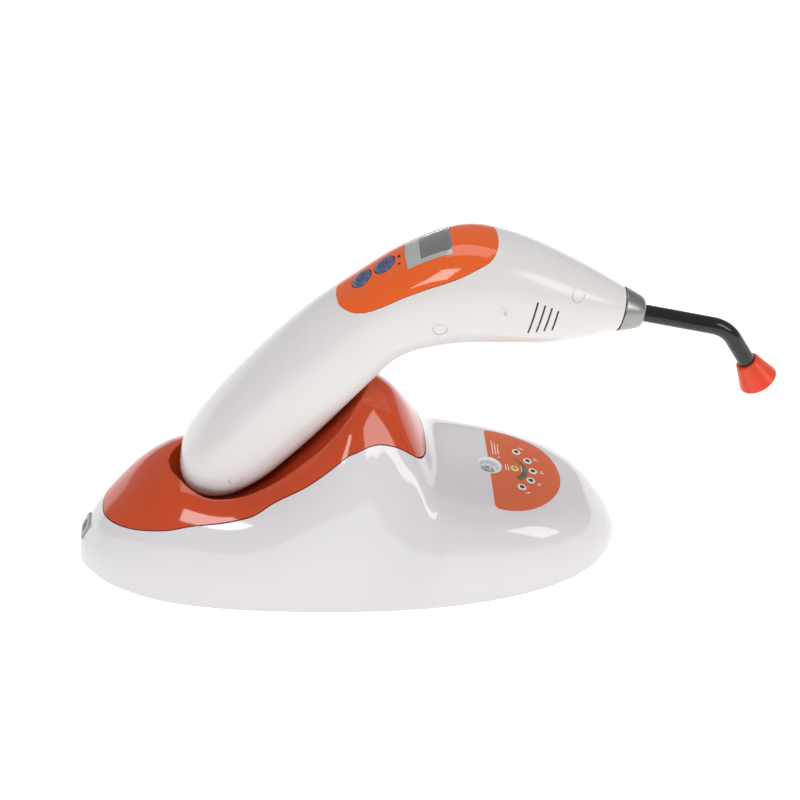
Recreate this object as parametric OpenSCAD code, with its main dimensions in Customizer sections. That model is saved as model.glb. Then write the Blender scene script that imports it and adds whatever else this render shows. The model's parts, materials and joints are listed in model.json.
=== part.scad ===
// Cordless dental curing light standing in its charging base with a light meter.
// Millimetres, +Z up, the base's feet stand on z = 0, the handpiece points along +X.

/* [Handpiece] */
// Wall thickness of the two handpiece half shells
shell_wall = 2.0; // [1.6:0.1:2.2]
// Diameter of the two push buttons
button_d = 9.8; // [9:0.2:10.2]
// Travel of the two push buttons
button_travel = 0.7; // [0.4:0.1:0.8]
// Width of each cooling slot
slot_w = 0.9; // [0.6:0.1:1.2]
// Diameter of the screw caps
cap_d = 5.8; // [5:0.2:6.4]
// Diameter of the rechargeable cell
cell_d = 18.4; // [17:0.2:18.6]

/* [Nose and light guide] */
// Diameter of the light guide rod
guide_d = 7.5; // [7:0.1:7.6]
// Radius of the guide's bend
guide_bend_r = 16; // [12:1:18]
// Length of the metal collar on the nose
collar_l = 10; // [9:0.5:11]
// Outer diameter of the eye shield's mouth
shield_d = 17.2; // [15:0.2:20]

/* [Base] */
// Wall thickness of the base cover
base_wall = 2.4; // [2:0.1:2.8]
// Thickness of the bottom plate
plate_t = 2.0; // [1.6:0.1:2.4]
// Diameter of the rubber feet
foot_d = 11; // [8:0.5:13]
// Diameter of the light meter's sensor well
well_d = 8.6; // [8.2:0.1:9]
// Depth of the light meter's sensor well
well_depth = 3.0; // [2:0.5:3.5]

/* [Hidden] */
$fn = 48;

eps = 0.01;

// ---- smooth curves through hand-set stations ----
function cr(P, t) = let (n = len(P), i = min(max(floor(t), 0), n - 2), u = t - i,
    a = P[max(i - 1, 0)], b = P[i], c = P[i + 1], d = P[min(i + 2, n - 1)])
    0.5 * (2 * b + (c - a) * u + (2 * a - 5 * b + 4 * c - d) * u * u + (3 * b - a - 3 * c + d) * u * u * u);
function spw(c, n) = sign(c) * pow(abs(c), 2 / n);

// Handpiece sections: top point x z, bottom point x z, half width, roundness
HP = [[-69.7, 41, -69.7, 41, 0.01, 2.2], [-72.2, 46.8, -63.7, 37.2, 9.5, 2.2], [-72.4, 51.5, -58, 36.3, 14, 2.3],
    [-71.2, 58, -51, 37.8, 17.6, 2.4], [-67.4, 65.8, -43.5, 41.6, 20, 2.5], [-60.3, 76.4, -34, 48, 21.2, 2.5],
    [-52.4, 86.4, -24, 57.2, 21.5, 2.5], [-41.8, 98.5, -12.4, 69, 21.5, 2.5], [-31, 109.9, -2, 80.6, 21.5, 2.5],
    [-20.7, 120, 7.4, 91.2, 21, 2.5], [-11.5, 128.3, 15, 99.3, 20, 2.5], [-2.5, 135.2, 22, 106.2, 19.2, 2.5],
    [8, 142.7, 29, 110.6, 19.4, 2.5], [17.8, 149.4, 35.5, 112.6, 20.2, 2.5], [26.3, 154.3, 41.5, 113.6, 21, 2.45],
    [36.2, 159, 47.8, 114.2, 21.8, 2.4], [46, 162, 54.5, 114.3, 22.4, 2.4], [57.5, 162.6, 62.5, 113.9, 22.4, 2.4],
    [72, 158.8, 73.5, 112.7, 21.3, 2.35], [86, 152.6, 85, 111.6, 19.2, 2.3], [98, 146, 95.8, 111.6, 16.4, 2.2],
    [108.5, 139.7, 105.5, 112.4, 13.4, 2.1], [119.5, 132.4, 114.5, 113.6, 9.7, 2]];
hp_end = len(HP) - 1;
function hp_pt(t, th, off) = let (s = cr(HP, t), hx = (s[0] - s[2]) / 2, hz = (s[1] - s[3]) / 2,
    H = max(sqrt(hx * hx + hz * hz), 0.001), a = max(H + off, 0.01) * spw(cos(th), s[5]))
    [(s[0] + s[2]) / 2 + a * hx / H, max(s[4] + off, 0.01) * spw(sin(th), s[5]), (s[1] + s[3]) / 2 + a * hz / H];

// Base body sections: x, half width at the floor, height, roundness
BV = [[-120.5, 0.01, 1.01, 2.2], [-120.1, 4.2, 6, 2.2], [-118.9, 8, 11, 2.3], [-116.5, 12.2, 16, 2.3], [-112, 18, 22.4, 2.4],
    [-105, 24.6, 30.2, 2.4], [-96, 30.4, 39, 2.5], [-87, 35, 46, 2.5], [-77, 38.6, 50.3, 2.6], [-67, 41.2, 51, 2.7],
    [-56, 43.4, 50, 2.9], [-45, 45.2, 51, 3], [-33, 46.6, 56, 3], [-20.5, 47.8, 65.8, 2.9], [-8, 48.7, 78.5, 2.6],
    [2, 49.2, 88.5, 2.2], [10, 49.5, 91.5, 1.8], [16, 49.6, 89.5, 1.65], [22, 49.5, 83.5, 1.65], [28, 49.4, 73, 1.8],
    [33, 49.2, 61.5, 2.2], [37.5, 48.9, 52, 2.7], [42, 48.5, 47.2, 3.3], [50, 47.6, 44, 3.6], [60, 46, 41.6, 3.7],
    [70, 43.9, 39.3, 3.7], [80, 41.2, 36.8, 3.6], [90, 37.3, 34.2, 3.4], [98, 33.2, 31, 3.2], [105, 28.4, 27, 3],
    [111, 22.8, 21.5, 2.8], [116, 16.4, 15.6, 2.6], [119.6, 9.8, 10, 2.4], [121.5, 4.8, 5, 2.2], [122, 0.01, 1.01, 2.2]];
bv_end = len(BV) - 1;
function bv_pt(t, th, off) = let (s = cr(BV, t))
    [s[0], -max(s[1] - off, 0.005) * spw(cos(th), s[3]), 1 + max(s[2] - 1 - off, 0.005) * spw(sin(th), s[3])];
// height of the base body at x, y
function bv_t(x, lo = 0, hi = 34, k = 0) = k > 22 ? (lo + hi) / 2 :
    let (m = (lo + hi) / 2) cr(BV, m)[0] < x ? bv_t(x, m, hi, k + 1) : bv_t(x, lo, m, k + 1);
function bv_z(x, y) = let (s = cr(BV, bv_t(x)), q = min(abs(y) / s[1], 0.999))
    1 + (s[2] - 1) * pow(1 - pow(q, s[3]), 1 / s[3]);

// Parting line between the white cover and the coloured cradle, x z
ZB = [[-112, 25], [-107.5, 27], [-102, 29], [-96, 31], [-86, 34], [-77, 36.5], [-68, 39], [-56.5, 40.6], [-45, 43],
    [-38, 46], [-31, 50.5], [-17, 59.6], [-3, 70.5], [3, 73.5], [11, 74], [19.5, 71], [25.6, 66.5], [32.6, 59.5],
    [36.5, 54.5], [39.5, 52], [44, 53]];
// Pocket for the handpiece: x, rim half width, floor z
PK = [[-77.4, 1.5, 49], [-76.6, 5, 46.5], [-75, 8.6, 43], [-72, 13, 38.6], [-68, 17.8, 35.7], [-62, 22, 34.1], [-56, 23.4, 33.9],
    [-50, 23.8, 35.3], [-43.5, 23.8, 39.2], [-34, 23.3, 45.8], [-24, 23.1, 55], [-12.4, 23, 66.8], [-4, 21.4, 76.2],
    [2, 17.6, 82.8], [6, 12.6, 87], [9, 7.6, 89.8], [11.2, 2.5, 91], [11.5, 1.2, 91.1]];
pk_end = len(PK) - 1;

// ---- solids lofted through closed rings of equal point count ----
function sum(v) = [for (q = v) 1] * v;
function ring_area(r) = sum([for (j = [0:len(r) - 1]) cross(r[j], r[(j + 1) % len(r)])]);
module loft(R) {
    m = len(R); k = len(R[0]); c = floor(m / 2) - 1;
    back = ring_area(R[c]) * (sum(R[c + 1]) - sum(R[c])) < 0;   // faces must look outwards
    polyhedron(points = [for (r = R) for (j = [0:k - 1]) r[back ? k - 1 - j : j]],
        faces = concat([[for (j = [0:k - 1]) j]], [[for (j = [k - 1:-1:0]) (m - 1) * k + j]],
            [for (i = [0:m - 2]) for (j = [0:k - 1]) let (a = i * k + j, b = i * k + (j + 1) % k) each [[a, a + k, b], [b, a + k, b + k]]]),
        convexity = 10);
}
function steps(a, b, n) = [for (i = [0:n]) a + (b - a) * i / n];
module hp_solid(off, t0, t1, n, m) loft([for (t = steps(t0, t1, n)) [for (j = [0:m - 1]) hp_pt(t, j * 360 / m, off)]]);
module bv_solid(off, t0, t1, n, m) loft([for (t = steps(t0, t1, n)) [for (j = [0:m]) bv_pt(t, 180 - j * 180 / m, off)]]);
module pocket_solid(off, m = 12) loft([for (t = steps(0, pk_end, pk_end * 2)) let (p = cr(PK, t), y = max(p[1], 0.05) + off,
    zr = max(bv_z(p[0], max(p[1], 0)), p[2] + 0.1), x = p[0] + (t < 1 ? -off * (1 - t) : t > pk_end - 1 ? off * (t - pk_end + 1) : 0))
    concat([for (j = [0:m]) [x, y * spw(cos(j * 180 / m), 1.8), zr - (zr - p[2] + off) * spw(sin(j * 180 / m), 1.8)]],
        [[x, -y, zr + 60], [x, y, zr + 60]])]);
// a panel-shaped patch of the handpiece's skin between two depths; P lists station and half angle
module skin_patch(P, lo, hi, m = 10) loft([for (t = steps(0, len(P) - 1, (len(P) - 1))) let (p = cr(P, t))
    concat([for (j = [0:m]) hp_pt(p[0], p[1] * (1 - 2 * j / m), hi)], [for (j = [m:-1:0]) hp_pt(p[0], p[1] * (1 - 2 * j / m), lo)])]);
module above_parting(gap) translate([0, 70, 0]) rotate([90, 0, 0]) linear_extrude(140)
    polygon(concat([for (p = ZB) [p[0], p[1] + gap]], [[44, 130], [-112, 130]]));

module place() translate([-shift, 0, 0]) children();
// frames: nose axis, guide tip, and points on the handpiece's crest
nose_pitch = 14.7; tip_pitch = 60; bend = tip_pitch - nose_pitch;
guide_reach = 49.1;     // nose ring to the corner of the guide's two straight lengths
tip_len = 20.5;         // that corner to the eye shield's narrow end
nose_x = 117; nose_z = 123;
corner_x = nose_x + guide_reach * cos(nose_pitch); corner_z = nose_z - guide_reach * sin(nose_pitch);
// the base's middle lies this far behind the whole object's middle
shift = (corner_x + (tip_len + 12) * cos(tip_pitch) + shield_d / 2 * sin(tip_pitch) - 120.5) / 2;
module nose(s = 0) translate([nose_x, 0, nose_z]) rotate([0, 90 + nose_pitch, 0]) translate([0, 0, s]) children();
module tip(u = 0) translate([corner_x + tip_len * cos(tip_pitch), 0, corner_z - tip_len * sin(tip_pitch)])
    rotate([0, 90 + tip_pitch, 0]) translate([0, 0, u]) children();
module crest(x, z, tilt) translate([x, 0, z]) rotate([0, -tilt, 0]) children();
module tube(r1, r2, h) rotate_extrude() translate([r1, 0]) square([r2 - r1, h]);
module wire(P, r) { // round cable through hand-set points
    n = (len(P) - 1) * 4;
    C = [for (i = [0:n]) cr(P, i / 4)];
    loft([for (i = [0:n]) let (d = C[min(i + 1, n)] - C[max(i - 1, 0)], w = d / norm(d),
        u0 = cross(w, abs(w[1]) > 0.9 ? [1, 0, 0] : [0, 1, 0]), u = u0 / norm(u0), v = cross(w, u))
        [for (j = [0:7]) C[i] + r * (cos(j * 45) * u + sin(j * 45) * v)]]);
}

// ================= charging base =================
jack_x = -116.2; jack_z = 15.2; jack_tilt = 28;
module jack_frame() translate([jack_x, 0, jack_z]) rotate([0, -90 + jack_tilt, 0]) children(); // local Z leaves the base
sensor_x = 64; sensor_tilt = 13;
module sensor_frame() translate([sensor_x, 0, bv_z(sensor_x, 0)]) rotate([0, sensor_tilt, 0]) children();
function led_xy(a) = [68 + 15.6 * cos(a), 15.6 * sin(a)];
LEDA = [-53, -26.5, 0, 26.5, 53];
pin_x = -58; pin_y = 6; pin_top = 36.7;
boss_xy = [[-78, 24], [-78, -24], [74, 24], [74, -24]];
cradle_boss = [[-92, 0], [26, 0]];

module base_cover() place() color([0.93, 0.92, 0.94]) difference() {
    union() {
        difference() {
            bv_solid(0, 0, bv_end, 46, 16);
            translate([0, 0, -0.01]) bv_solid(base_wall, 0.8, bv_end - 0.8, 36, 12);
            translate([-150, -80, -5]) cube([300, 160, 6]);
        }
        // screw bosses, stiffening ribs and the two bridges that the cradle is screwed to
        for (p = boss_xy) hull() { translate([p[0], p[1], 3.3]) cylinder(r = 3.6, h = 28, $fn = 20);
            translate([p[0], p[1] + sign(p[1]) * (p[0] < 0 ? 2.8 : 0.5), 20]) cylinder(r = 3.6, h = p[0] < 0 ? 14 : 15.2, $fn = 20); }
        for (x = [56, 92]) hull() { translate([x, -27, x < 60 ? 36 : 27]) cube([1.6, 54, 4]); translate([x, -24, x < 60 ? 35 : 26]) cube([1.6, 48, 4]); }
        for (s = [-1, 1]) for (v = [[-30, 43.2, 40.4], [10, 46.2, 42.9]]) hull() { translate([v[0], s * v[1] - 1.5, 6]) cube([1.6, 3, 3]); translate([v[0], s * v[2] - 1.4, 31]) cube([1.6, 2.8, 3]); }
        translate([-96, -28, 25.9]) cube([8, 56, 2]);
        translate([22, -36.5, 41.9]) cube([8, 73, 2]);
    }
    above_parting(0);
    for (p = boss_xy) translate([p[0], p[1], 0]) cylinder(r = 1.3, h = 14, $fn = 20);
    for (p = cradle_boss) translate([p[0], p[1], 20]) cylinder(r = 1.7, h = 30, $fn = 20);
    jack_frame() translate([-4.6, -5.1, -14]) cube([9.2, 10.2, 20]);
    sensor_frame() translate([0, 0, -8]) cylinder(r = 5.75, h = 12);
    for (a = LEDA) translate([led_xy(a)[0], led_xy(a)[1], 25]) cylinder(r = 1.75, h = 20, $fn = 20);
    translate([75.4, 0, 25]) cylinder(r = 1.75, h = 20, $fn = 20);
}
module floor_outline(off) polygon([for (t = steps(0.6, bv_end - 0.6, 60)) let (s = cr(BV, t)) [s[0], -max(s[1] - off, 0.1)],
    for (t = steps(bv_end - 0.6, 0.6, 60)) let (s = cr(BV, t)) [s[0], max(s[1] - off, 0.1)]]);
module base_plate() place() color([0.86, 0.85, 0.87]) difference() {
    translate([0, 0, 1.2]) linear_extrude(plate_t) intersection() { floor_outline(base_wall + 0.35); square([228, 120], center = true); }
    for (p = boss_xy) translate([p[0], p[1], 0]) { cylinder(r = 1.8, h = 6); translate([0, 0, 1]) cylinder(r = 3.4, h = 1.35); }
    for (p = foot_xy) translate([p[0], p[1], 0]) cylinder(r = foot_d / 2 + 0.1, h = 1.9);
    for (p = cradle_boss) translate([p[0], p[1], 0]) cylinder(r = 3.6, h = 6);
}
foot_xy = [[-88, 15], [-88, -15], [86, 18], [86, -18], [-20, 36], [-20, -36]];
module base_feet() place() color([0.2, 0.2, 0.21]) for (p = foot_xy) translate([p[0], p[1], 0])
    rotate_extrude() polygon([[0, 0], [foot_d / 2 - 0.5, 0], [foot_d / 2, 0.5], [foot_d / 2, 1.85], [0, 1.85]]);
module screw(l, r, hr, hh) rotate_extrude() polygon([[0, 0], [hr, 0], [hr, hh * 0.5], [r, hh], [r, l - 1], [r * 0.4, l], [0, l]]);
module base_screws() place() color([0.6, 0.6, 0.62]) for (p = boss_xy) translate([p[0], p[1], 1.3]) difference() {
    screw(11, 1.25, 3.1, 1.0);
    translate([-1.8, -0.3, -0.1]) cube([3.6, 0.6, 0.6]); translate([-0.3, -1.8, -0.1]) cube([0.6, 3.6, 0.6]);
}
module cradle() place() color([0.82, 0.3, 0.13]) difference() {
    union() {
        difference() {
            intersection() { bv_solid(0, 3.4, 22.4, 36, 18); above_parting(0.35); }
            bv_solid(2.2, 2.6, 23, 32, 14);
        }
        intersection() { pocket_solid(2.2, 12); bv_solid(0.7, 3, 22.8, 34, 16); }
        // screw posts, and ribs between the pocket and the skin
        for (p = cradle_boss) translate([p[0], p[1], p[0] < 0 ? 28 : 44]) cylinder(r = 3.4, h = p[0] < 0 ? 12.6 : 30, $fn = 20);
        for (x = [-52, -40, -16]) for (s = [-1, 1]) hull() { translate([x, s * 26.4 - 3, bv_z(x, 30) - 5.4]) cube([1.6, 6, 1.6]);
            translate([x, s * 26.4 - 2.6, bv_z(x, 30) - 3]) cube([1.6, 5.2, 1.4]); }
    }
    pocket_solid(0, 12);
    for (s = [-1, 1]) translate([pin_x, s * pin_y, 25]) cylinder(r = 1.7, h = 20, $fn = 24);
    for (p = cradle_boss) translate([p[0], p[1], 20]) cylinder(r = 1.3, h = p[0] < 0 ? 16 : 34, $fn = 20);
}
module cradle_screws() place() color([0.6, 0.6, 0.62]) for (p = cradle_boss) translate([p[0], p[1], p[0] < 0 ? 24.2 : 40.2])
    rotate_extrude() polygon([[0, 0], [2.9, 0], [2.9, 1.6], [1.25, 1.6], [1.25, 9], [0.5, 10], [0, 10]]);
// printed label, flush on the cover, following its crown
module meter_label() place() color([0.86, 0.42, 0.26]) difference() {
    intersection() {
        difference() { bv_solid(-0.35, 31 * 34 / 46, 40 * 34 / 46, 9, 16); bv_solid(-0.03, 30 * 34 / 46, 41 * 34 / 46, 11, 16); }
        translate([0, 0, 20]) linear_extrude(30) difference() {
            union() { intersection() { translate([68, 0]) circle(r = 28, $fn = 64); translate([66, -40]) square([40, 80]); }
                translate([64, -25.2]) square([4, 50.4]); for (s = [-1, 1]) translate([66.2, s * 25.2]) circle(r = 2.2, $fn = 24); }
            translate([sensor_x, 0]) circle(r = 6.1, $fn = 40);
            for (a = LEDA) translate(led_xy(a)) circle(r = 2.0, $fn = 24);
            translate([75.4, 0]) circle(r = 2.0, $fn = 24);
        }
    }
}
module led_at(x, y) translate([x, y, bv_z(x, y) - 3.2]) children();
module meter_leds() place() color([0.1, 0.35, 0.33]) for (a = LEDA) led_at(led_xy(a)[0], led_xy(a)[1])
    rotate_extrude() polygon([[0, 0], [1.6, 0], [1.6, 3.5], [1.1, 3.9], [0, 4.1]]);
module status_led() place() color([0.9, 0.75, 0.2]) led_at(75.4, 0)
    rotate_extrude() polygon([[0, 0], [1.6, 0], [1.6, 3.5], [1.1, 3.9], [0, 4.1]]);
module sensor_seat() place() color([0.9, 0.89, 0.88]) sensor_frame() difference() {
    translate([0, 0, -6.5]) rotate_extrude() polygon([[0, 0], [5.6, 0], [5.6, 6.2], [5.2, 6.7], [0, 6.7]]);
    translate([0, 0, -well_depth]) cylinder(r = well_d / 2, h = 10);
    translate([0, 0, -5.4]) cylinder(r = 3.4, h = 8);
    translate([0, 0, -8]) cylinder(r = 2.0, h = 8);
}
module sensor_window() place() color([0.85, 0.88, 0.9, 0.5]) sensor_frame() translate([0, 0, -5.35]) cylinder(r = 3.3, h = 2.3);
module light_sensor() place() color([0.15, 0.15, 0.16]) sensor_frame() translate([0, 0, -9.6]) {
    cylinder(r = 1.8, h = 4.1); translate([-2.6, -2.6, -0.2]) cube([5.2, 5.2, 1.6]);
}
module meter_board() place() color([0.1, 0.35, 0.2]) sensor_frame() difference() {
    translate([-7, -17, -11.4]) cube([30, 34, 1.5]);
    for (s = [-1, 1]) translate([10, s * 24, -13]) cylinder(r = 7.6, h = 5);
}
module base_board() place() color([0.1, 0.33, 0.2]) {
    translate([-66, -20, 9]) cube([58, 40, 1.6]);
    translate([-24, -12, 10.5]) cube([12, 10, 5]);
    translate([-40, 8, 10.5]) cylinder(r = 4, h = 9);
    for (x = [-62, -12]) for (s = [-1, 1]) translate([x, s * 16, 3.2]) cylinder(r = 2, h = 5.9);
}
module dc_jack() place() color([0.62, 0.62, 0.64]) jack_frame() difference() {
    union() {
        translate([-4.4, -4.9, -12]) cube([8.8, 9.8, 13.2]);
    }
    translate([0, 0, -8]) cylinder(r = 2.85, h = 12);
}
module pin_holder() place() color([0.12, 0.12, 0.13]) difference() {
    union() { translate([pin_x - 5, -11, 10.6]) cube([10, 22, 19.4]); translate([pin_x - 5, -11, 10.6]) cube([10, 22, 3]); }
    for (s = [-1, 1]) translate([pin_x, s * pin_y, 14]) cylinder(r = 2.15, h = 30);
    for (s = [-1, 1]) translate([pin_x, s * pin_y, 9]) cylinder(r = 0.7, h = 30);
}
module charge_pins() place() color([0.85, 0.7, 0.35]) for (s = [-1, 1]) translate([pin_x, s * pin_y, 0])
    rotate_extrude() polygon([[0, 23.5], [2.08, 23.5], [2.08, 26], [1.25, 26.8], [1.25, pin_top - 0.6], [0.7, pin_top], [0, pin_top]]);
module pin_springs() place() color([0.7, 0.7, 0.72]) for (s = [-1, 1]) translate([pin_x, s * pin_y, 0])
    loft([for (i = [0:40]) let (a = i * 45, c = [1.55 * cos(a), 1.55 * sin(a), 14.5 + 8.5 * i / 40])
        [for (j = [0:5]) c + 0.24 * [cos(a) * cos(j * 60), sin(a) * cos(j * 60), sin(j * 60)]]]);
module base_harness() place() color([0.75, 0.12, 0.1]) {
    wire([[-103, 2, 9.6], [-96, 3, 8], [-86, 6, 10], [-78, 10, 12.5], [-70, 11, 12.6], [-63, 11, 11.7]], 0.7);
    wire([[-12, -4, 11.7], [-6, -5, 13], [10, -6, 9], [30, -4, 14], [44, -2, 22], [54, -1, 27], [59.8, 0, 28.2]], 0.7);
}

// ================= handpiece =================
CAPS = [[-48.1, 54.3], [39.4, 130.2], [97.5, 139.8]];
SLOTS = [[79.8, 140.7, 76.2, 126.2], [82.9, 138.7, 79.7, 126.2], [85.8, 136.9, 83, 126.2], [88.6, 135, 86.4, 126.2]];
PANEL = [[11, 1], [11.04, 16], [11.15, 27], [11.35, 39], [11.6, 47], [11.95, 52.5], [12.6, 56], [13.6, 56.5], [14.6, 56.5], [15.4, 56], [16, 53.5],
    [16.5, 49], [17, 41], [17.25, 33], [17.42, 21], [17.5, 8], [17.51, 1]];
PANEL_CUT = [for (p = PANEL) [p[0] + (p[0] < 11.5 ? -0.04 : p[0] > 17 ? 0.03 : 0), p[1] + 0.8]];
WINDOW = [[14, 22.5], [14.5, 22.6], [15, 22.6], [15.5, 22.6], [15.9, 22.5]];
WINDOW_CUT = [[13.98, 23], [14.5, 23.1], [15, 23.1], [15.5, 23.1], [15.92, 23]];
b1 = [8.2, 142.85, 35.5]; b2 = [17.8, 149.4, 31.5];

module half_space(s) translate([-90, s > 0 ? 0.04 : -60.04, 0]) cube([230, 60, 200]);
module handpiece_shell(s) place() color([0.95, 0.94, 0.92]) difference() {
    intersection() {
        union() {
            difference() { hp_solid(0, 0.1, hp_end, 42, 26); hp_solid(-shell_wall, 0.95, hp_end + 0.2, 34, 20); }
            for (c = CAPS) translate([c[0], 0, c[1]]) rotate([90, 0, 0]) cylinder(r = 4, h = c[0] > 90 ? 23 : 38, center = true, $fn = 20);
        }
        half_space(s);
    }
    skin_patch(PANEL_CUT, -shell_wall - 3, 3, 8);
    for (v = SLOTS) for (k = [-1, 1]) hull() for (e = [0, 2]) translate([v[e], k * 22, v[e + 1]]) rotate([90, 0, 0]) cylinder(r = slot_w / 2, h = 20, center = true, $fn = 10);
    for (c = CAPS) translate([c[0], 0, c[1]]) rotate([90, 0, 0]) {
        cylinder(r = 1.35, h = 24, center = true, $fn = 20);
        translate([0, 0, 6]) cylinder(r = cap_d / 2 + 0.1, h = 40, $fn = 28);
    }
    for (k = [-1, 1]) translate([-58, k * 6, 30]) cylinder(r = 2.65, h = 12, $fn = 24);
}
module shell_left() handpiece_shell(-1);
module shell_right() handpiece_shell(1);
module control_panel() place() color([0.9, 0.38, 0.14]) difference() {
    union() {
        skin_patch(PANEL, -1.8, 0);
        // snap tabs under the panel's edge
        for (t = [12.6, 13.4, 14.7, 15.5]) for (k = [-1, 1]) hull() { translate(hp_pt(t, k * 51, -2.4)) cube([3, 1.2, 1.6], center = true); translate(hp_pt(t, k * 50, -5)) cube([2.4, 1, 1.6], center = true); }
    }
    skin_patch(WINDOW_CUT, -3, 2);
    for (b = [b1, b2]) crest(b[0], b[1], b[2]) translate([0, 0, -6]) cylinder(r = button_d / 2 + 0.35, h = 12, $fn = 48);
}
module lcd_window() place() color([0.8, 0.82, 0.84, 0.4]) skin_patch(WINDOW, -1.6, -0.02);
module lcd_module() place() color([0.75, 0.76, 0.78]) crest(36.2, 159, 19.5) translate([0, 0, -1.4]) {
    difference() { translate([-12, -9.6, -6.2]) cube([24, 19.2, 2.6]); translate([-7, -8.6, -3.8]) cube([17, 17.2, 1]); }
    translate([-6.9, -8.5, -4.2]) cube([16.8, 17, 0.45]);
}
module button() union() {
    rotate_extrude() polygon([[0, -3.4], [button_d / 2 + 0.65, -3.4], [button_d / 2 + 0.65, -2.6], [button_d / 2, -2.6], [button_d / 2, 0.1], [button_d / 2 - 0.5, 0.6], [0, 0.95]]);
    translate([0, 0, -5.2]) cylinder(r = 1.6, h = 2.2);
}
module power_button() place() color([0.3, 0.4, 0.66]) crest(b1[0], b1[1], b1[2]) button();
module mode_button() place() color([0.3, 0.4, 0.66]) crest(b2[0], b2[1], b2[2]) button();
module tact_switches() place() color([0.16, 0.16, 0.17]) for (b = [b1, b2]) crest(b[0], b[1], b[2]) {
    translate([-2.9, -2.9, -9.2]) cube([5.8, 5.8, 2.4]); translate([0, 0, -6.9]) cylinder(r = 1.5, h = 0.75);
}
module control_board() place() color([0.1, 0.35, 0.2]) {
    crest(12.9, 146, 33.5) translate([-13, -11, -11.6]) cube([27, 22, 1.6]);
    for (b = [b1, b2]) crest(b[0], b[1], b[2]) translate([-2, -2, -10.6]) cube([4, 4, 1.35]);
}
module driver_board() place() color([0.1, 0.35, 0.2]) crest(52, 120, 2) {
    translate([-19, -11, 0]) cube([38, 22, 1.6]);
    translate([-12, -8, 1.5]) cube([9, 9, 3]); translate([4, -3, 1.5]) cylinder(r = 4, h = 7);
}
module buzzer() place() color([0.13, 0.13, 0.14]) crest(52, 120, 2) translate([13, 5.4, 1.7]) difference() {
    cylinder(r = 4.4, h = 4.5); translate([0, 0, 2]) cylinder(r = 1, h = 4);
}
module cell_frame(s = 0) translate([-22.9, 0, 87.5]) rotate([0, 45.5, 0]) translate([0, 0, s]) children();
module battery() place() color([0.25, 0.45, 0.7]) cell_frame(-32.5) { cylinder(r = cell_d / 2, h = 64.2); translate([0, 0, 64.1]) cylinder(r = 3, h = 0.9); }
module battery_holder() place() color([0.14, 0.14, 0.15]) cell_frame(-36) difference() {
    union() { tube(cell_d / 2 + 0.15, cell_d / 2 + 1.6, 71); for (z = [0, 69.6]) translate([0, 0, z]) cylinder(r = cell_d / 2 + 1.6, h = 1.4); }
    translate([-30, -7, 4]) cube([30, 14, 62]);
    for (z = [-1, 69]) translate([0, 0, z]) cylinder(r = 1.5, h = 3);
}
module battery_terminals() place() color([0.8, 0.8, 0.78]) cell_frame() {
    translate([0, 0, -34.4]) cylinder(r = 5, h = 0.4); translate([0, 0, -34.2]) rotate_extrude() polygon([[1, 0], [4, 0], [1.8, 1.6], [1, 1.6]]);
    translate([0, 0, 33.1]) cylinder(r = 5, h = 0.4);
}
module charge_contacts() place() color([0.85, 0.7, 0.35]) for (k = [-1, 1]) translate([-58, k * 6, 36.9])
    rotate_extrude() polygon([[0, 0], [2.2, 0], [2.55, 0.35], [2.55, 2], [1.4, 2], [1.4, 4.5], [0, 4.5]]);
module fan_frame() place() color([0.13, 0.13, 0.14]) nose(-37) difference() {
    translate([0, 0, 0]) cylinder(r = 13.2, h = 7.4);
    translate([0, 0, 1.2]) cylinder(r = 12.2, h = 8);
    difference() { translate([0, 0, -1]) cylinder(r = 12.2, h = 4); translate([0, 0, -1]) cylinder(r = 3.4, h = 4); for (a = [0, 120, 240]) rotate([0, 0, a]) translate([0, -0.8, -1]) cube([14, 1.6, 4]); }
}
module fan_rotor() place() color([0.2, 0.2, 0.21]) nose(-37) difference() {
    union() {
        translate([0, 0, 1.5]) cylinder(r = 5, h = 5.4);
        for (i = [0:6]) rotate([0, 0, i * 360 / 7]) translate([4, 0, 4.2]) rotate([38, 0, 0]) translate([0, -2.6, -0.35]) cube([7.4, 5.2, 0.7]);
    }
    translate([0, 0, 0]) cylinder(r = 0.9, h = 3);
}
module heat_sink() place() color([0.75, 0.76, 0.78]) nose(-25.5) union() {
    translate([0, 0, 17]) cylinder(r = 7.0, h = 3.6);
    cylinder(r = 3, h = 18);
    for (i = [0:5]) translate([0, 0, i * 3]) cylinder(r = 7.0, h = 1.1);
}
module led_board() place() color([0.9, 0.9, 0.88]) nose(-4.8) cylinder(r = 5.6, h = 1.0);
module led_emitter() place() color([0.95, 0.85, 0.3]) nose(-3.75) { translate([-1.8, -1.8, 0]) cube([3.6, 3.6, 0.9]); translate([0, 0, 0.85]) cylinder(r = 1.3, h = 0.5); }
module lens_holder() place() color([0.15, 0.15, 0.16]) nose(-4.7) difference() {
    cylinder(r = 7.1, h = 5.2); translate([0, 0, -1]) cylinder(r = 5.8, h = 3); translate([0, 0, 1.6]) cylinder(r = 4.6, h = 5);
}
module beam_lens() place() color([0.85, 0.9, 0.95, 0.5]) nose(-2.2)
    rotate_extrude() polygon(concat([[0, 0], [4.5, 0], [4.5, 0.8]], [for (i = [1:8]) [4.5 * cos(i * 11.25), 0.8 + 1.6 * sin(i * 11.25)]]));
module nose_gasket() place() color([0.15, 0.14, 0.13]) nose(0.08) difference() { cylinder(r = 9.2, h = 0.45); translate([0, 0, -1]) cylinder(r = 7.4, h = 3); }
module nose_collar() place() color([0.7, 0.7, 0.68]) nose(0.55) difference() {
    rotate_extrude() polygon([[4.5, 0], [9.65, 0], [9.72, 0.5], [8.7, 3.6], [7.6, 6.6], [6.75, collar_l - 1.3], [6.2, collar_l - 0.4], [5.4, collar_l], [4.5, collar_l]]);
    translate([0, 0, -1]) cylinder(r = 4.72, h = collar_l + 3);
    translate([0, 0, 5]) cylinder(r = 5.4, h = 1.3);
}
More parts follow.
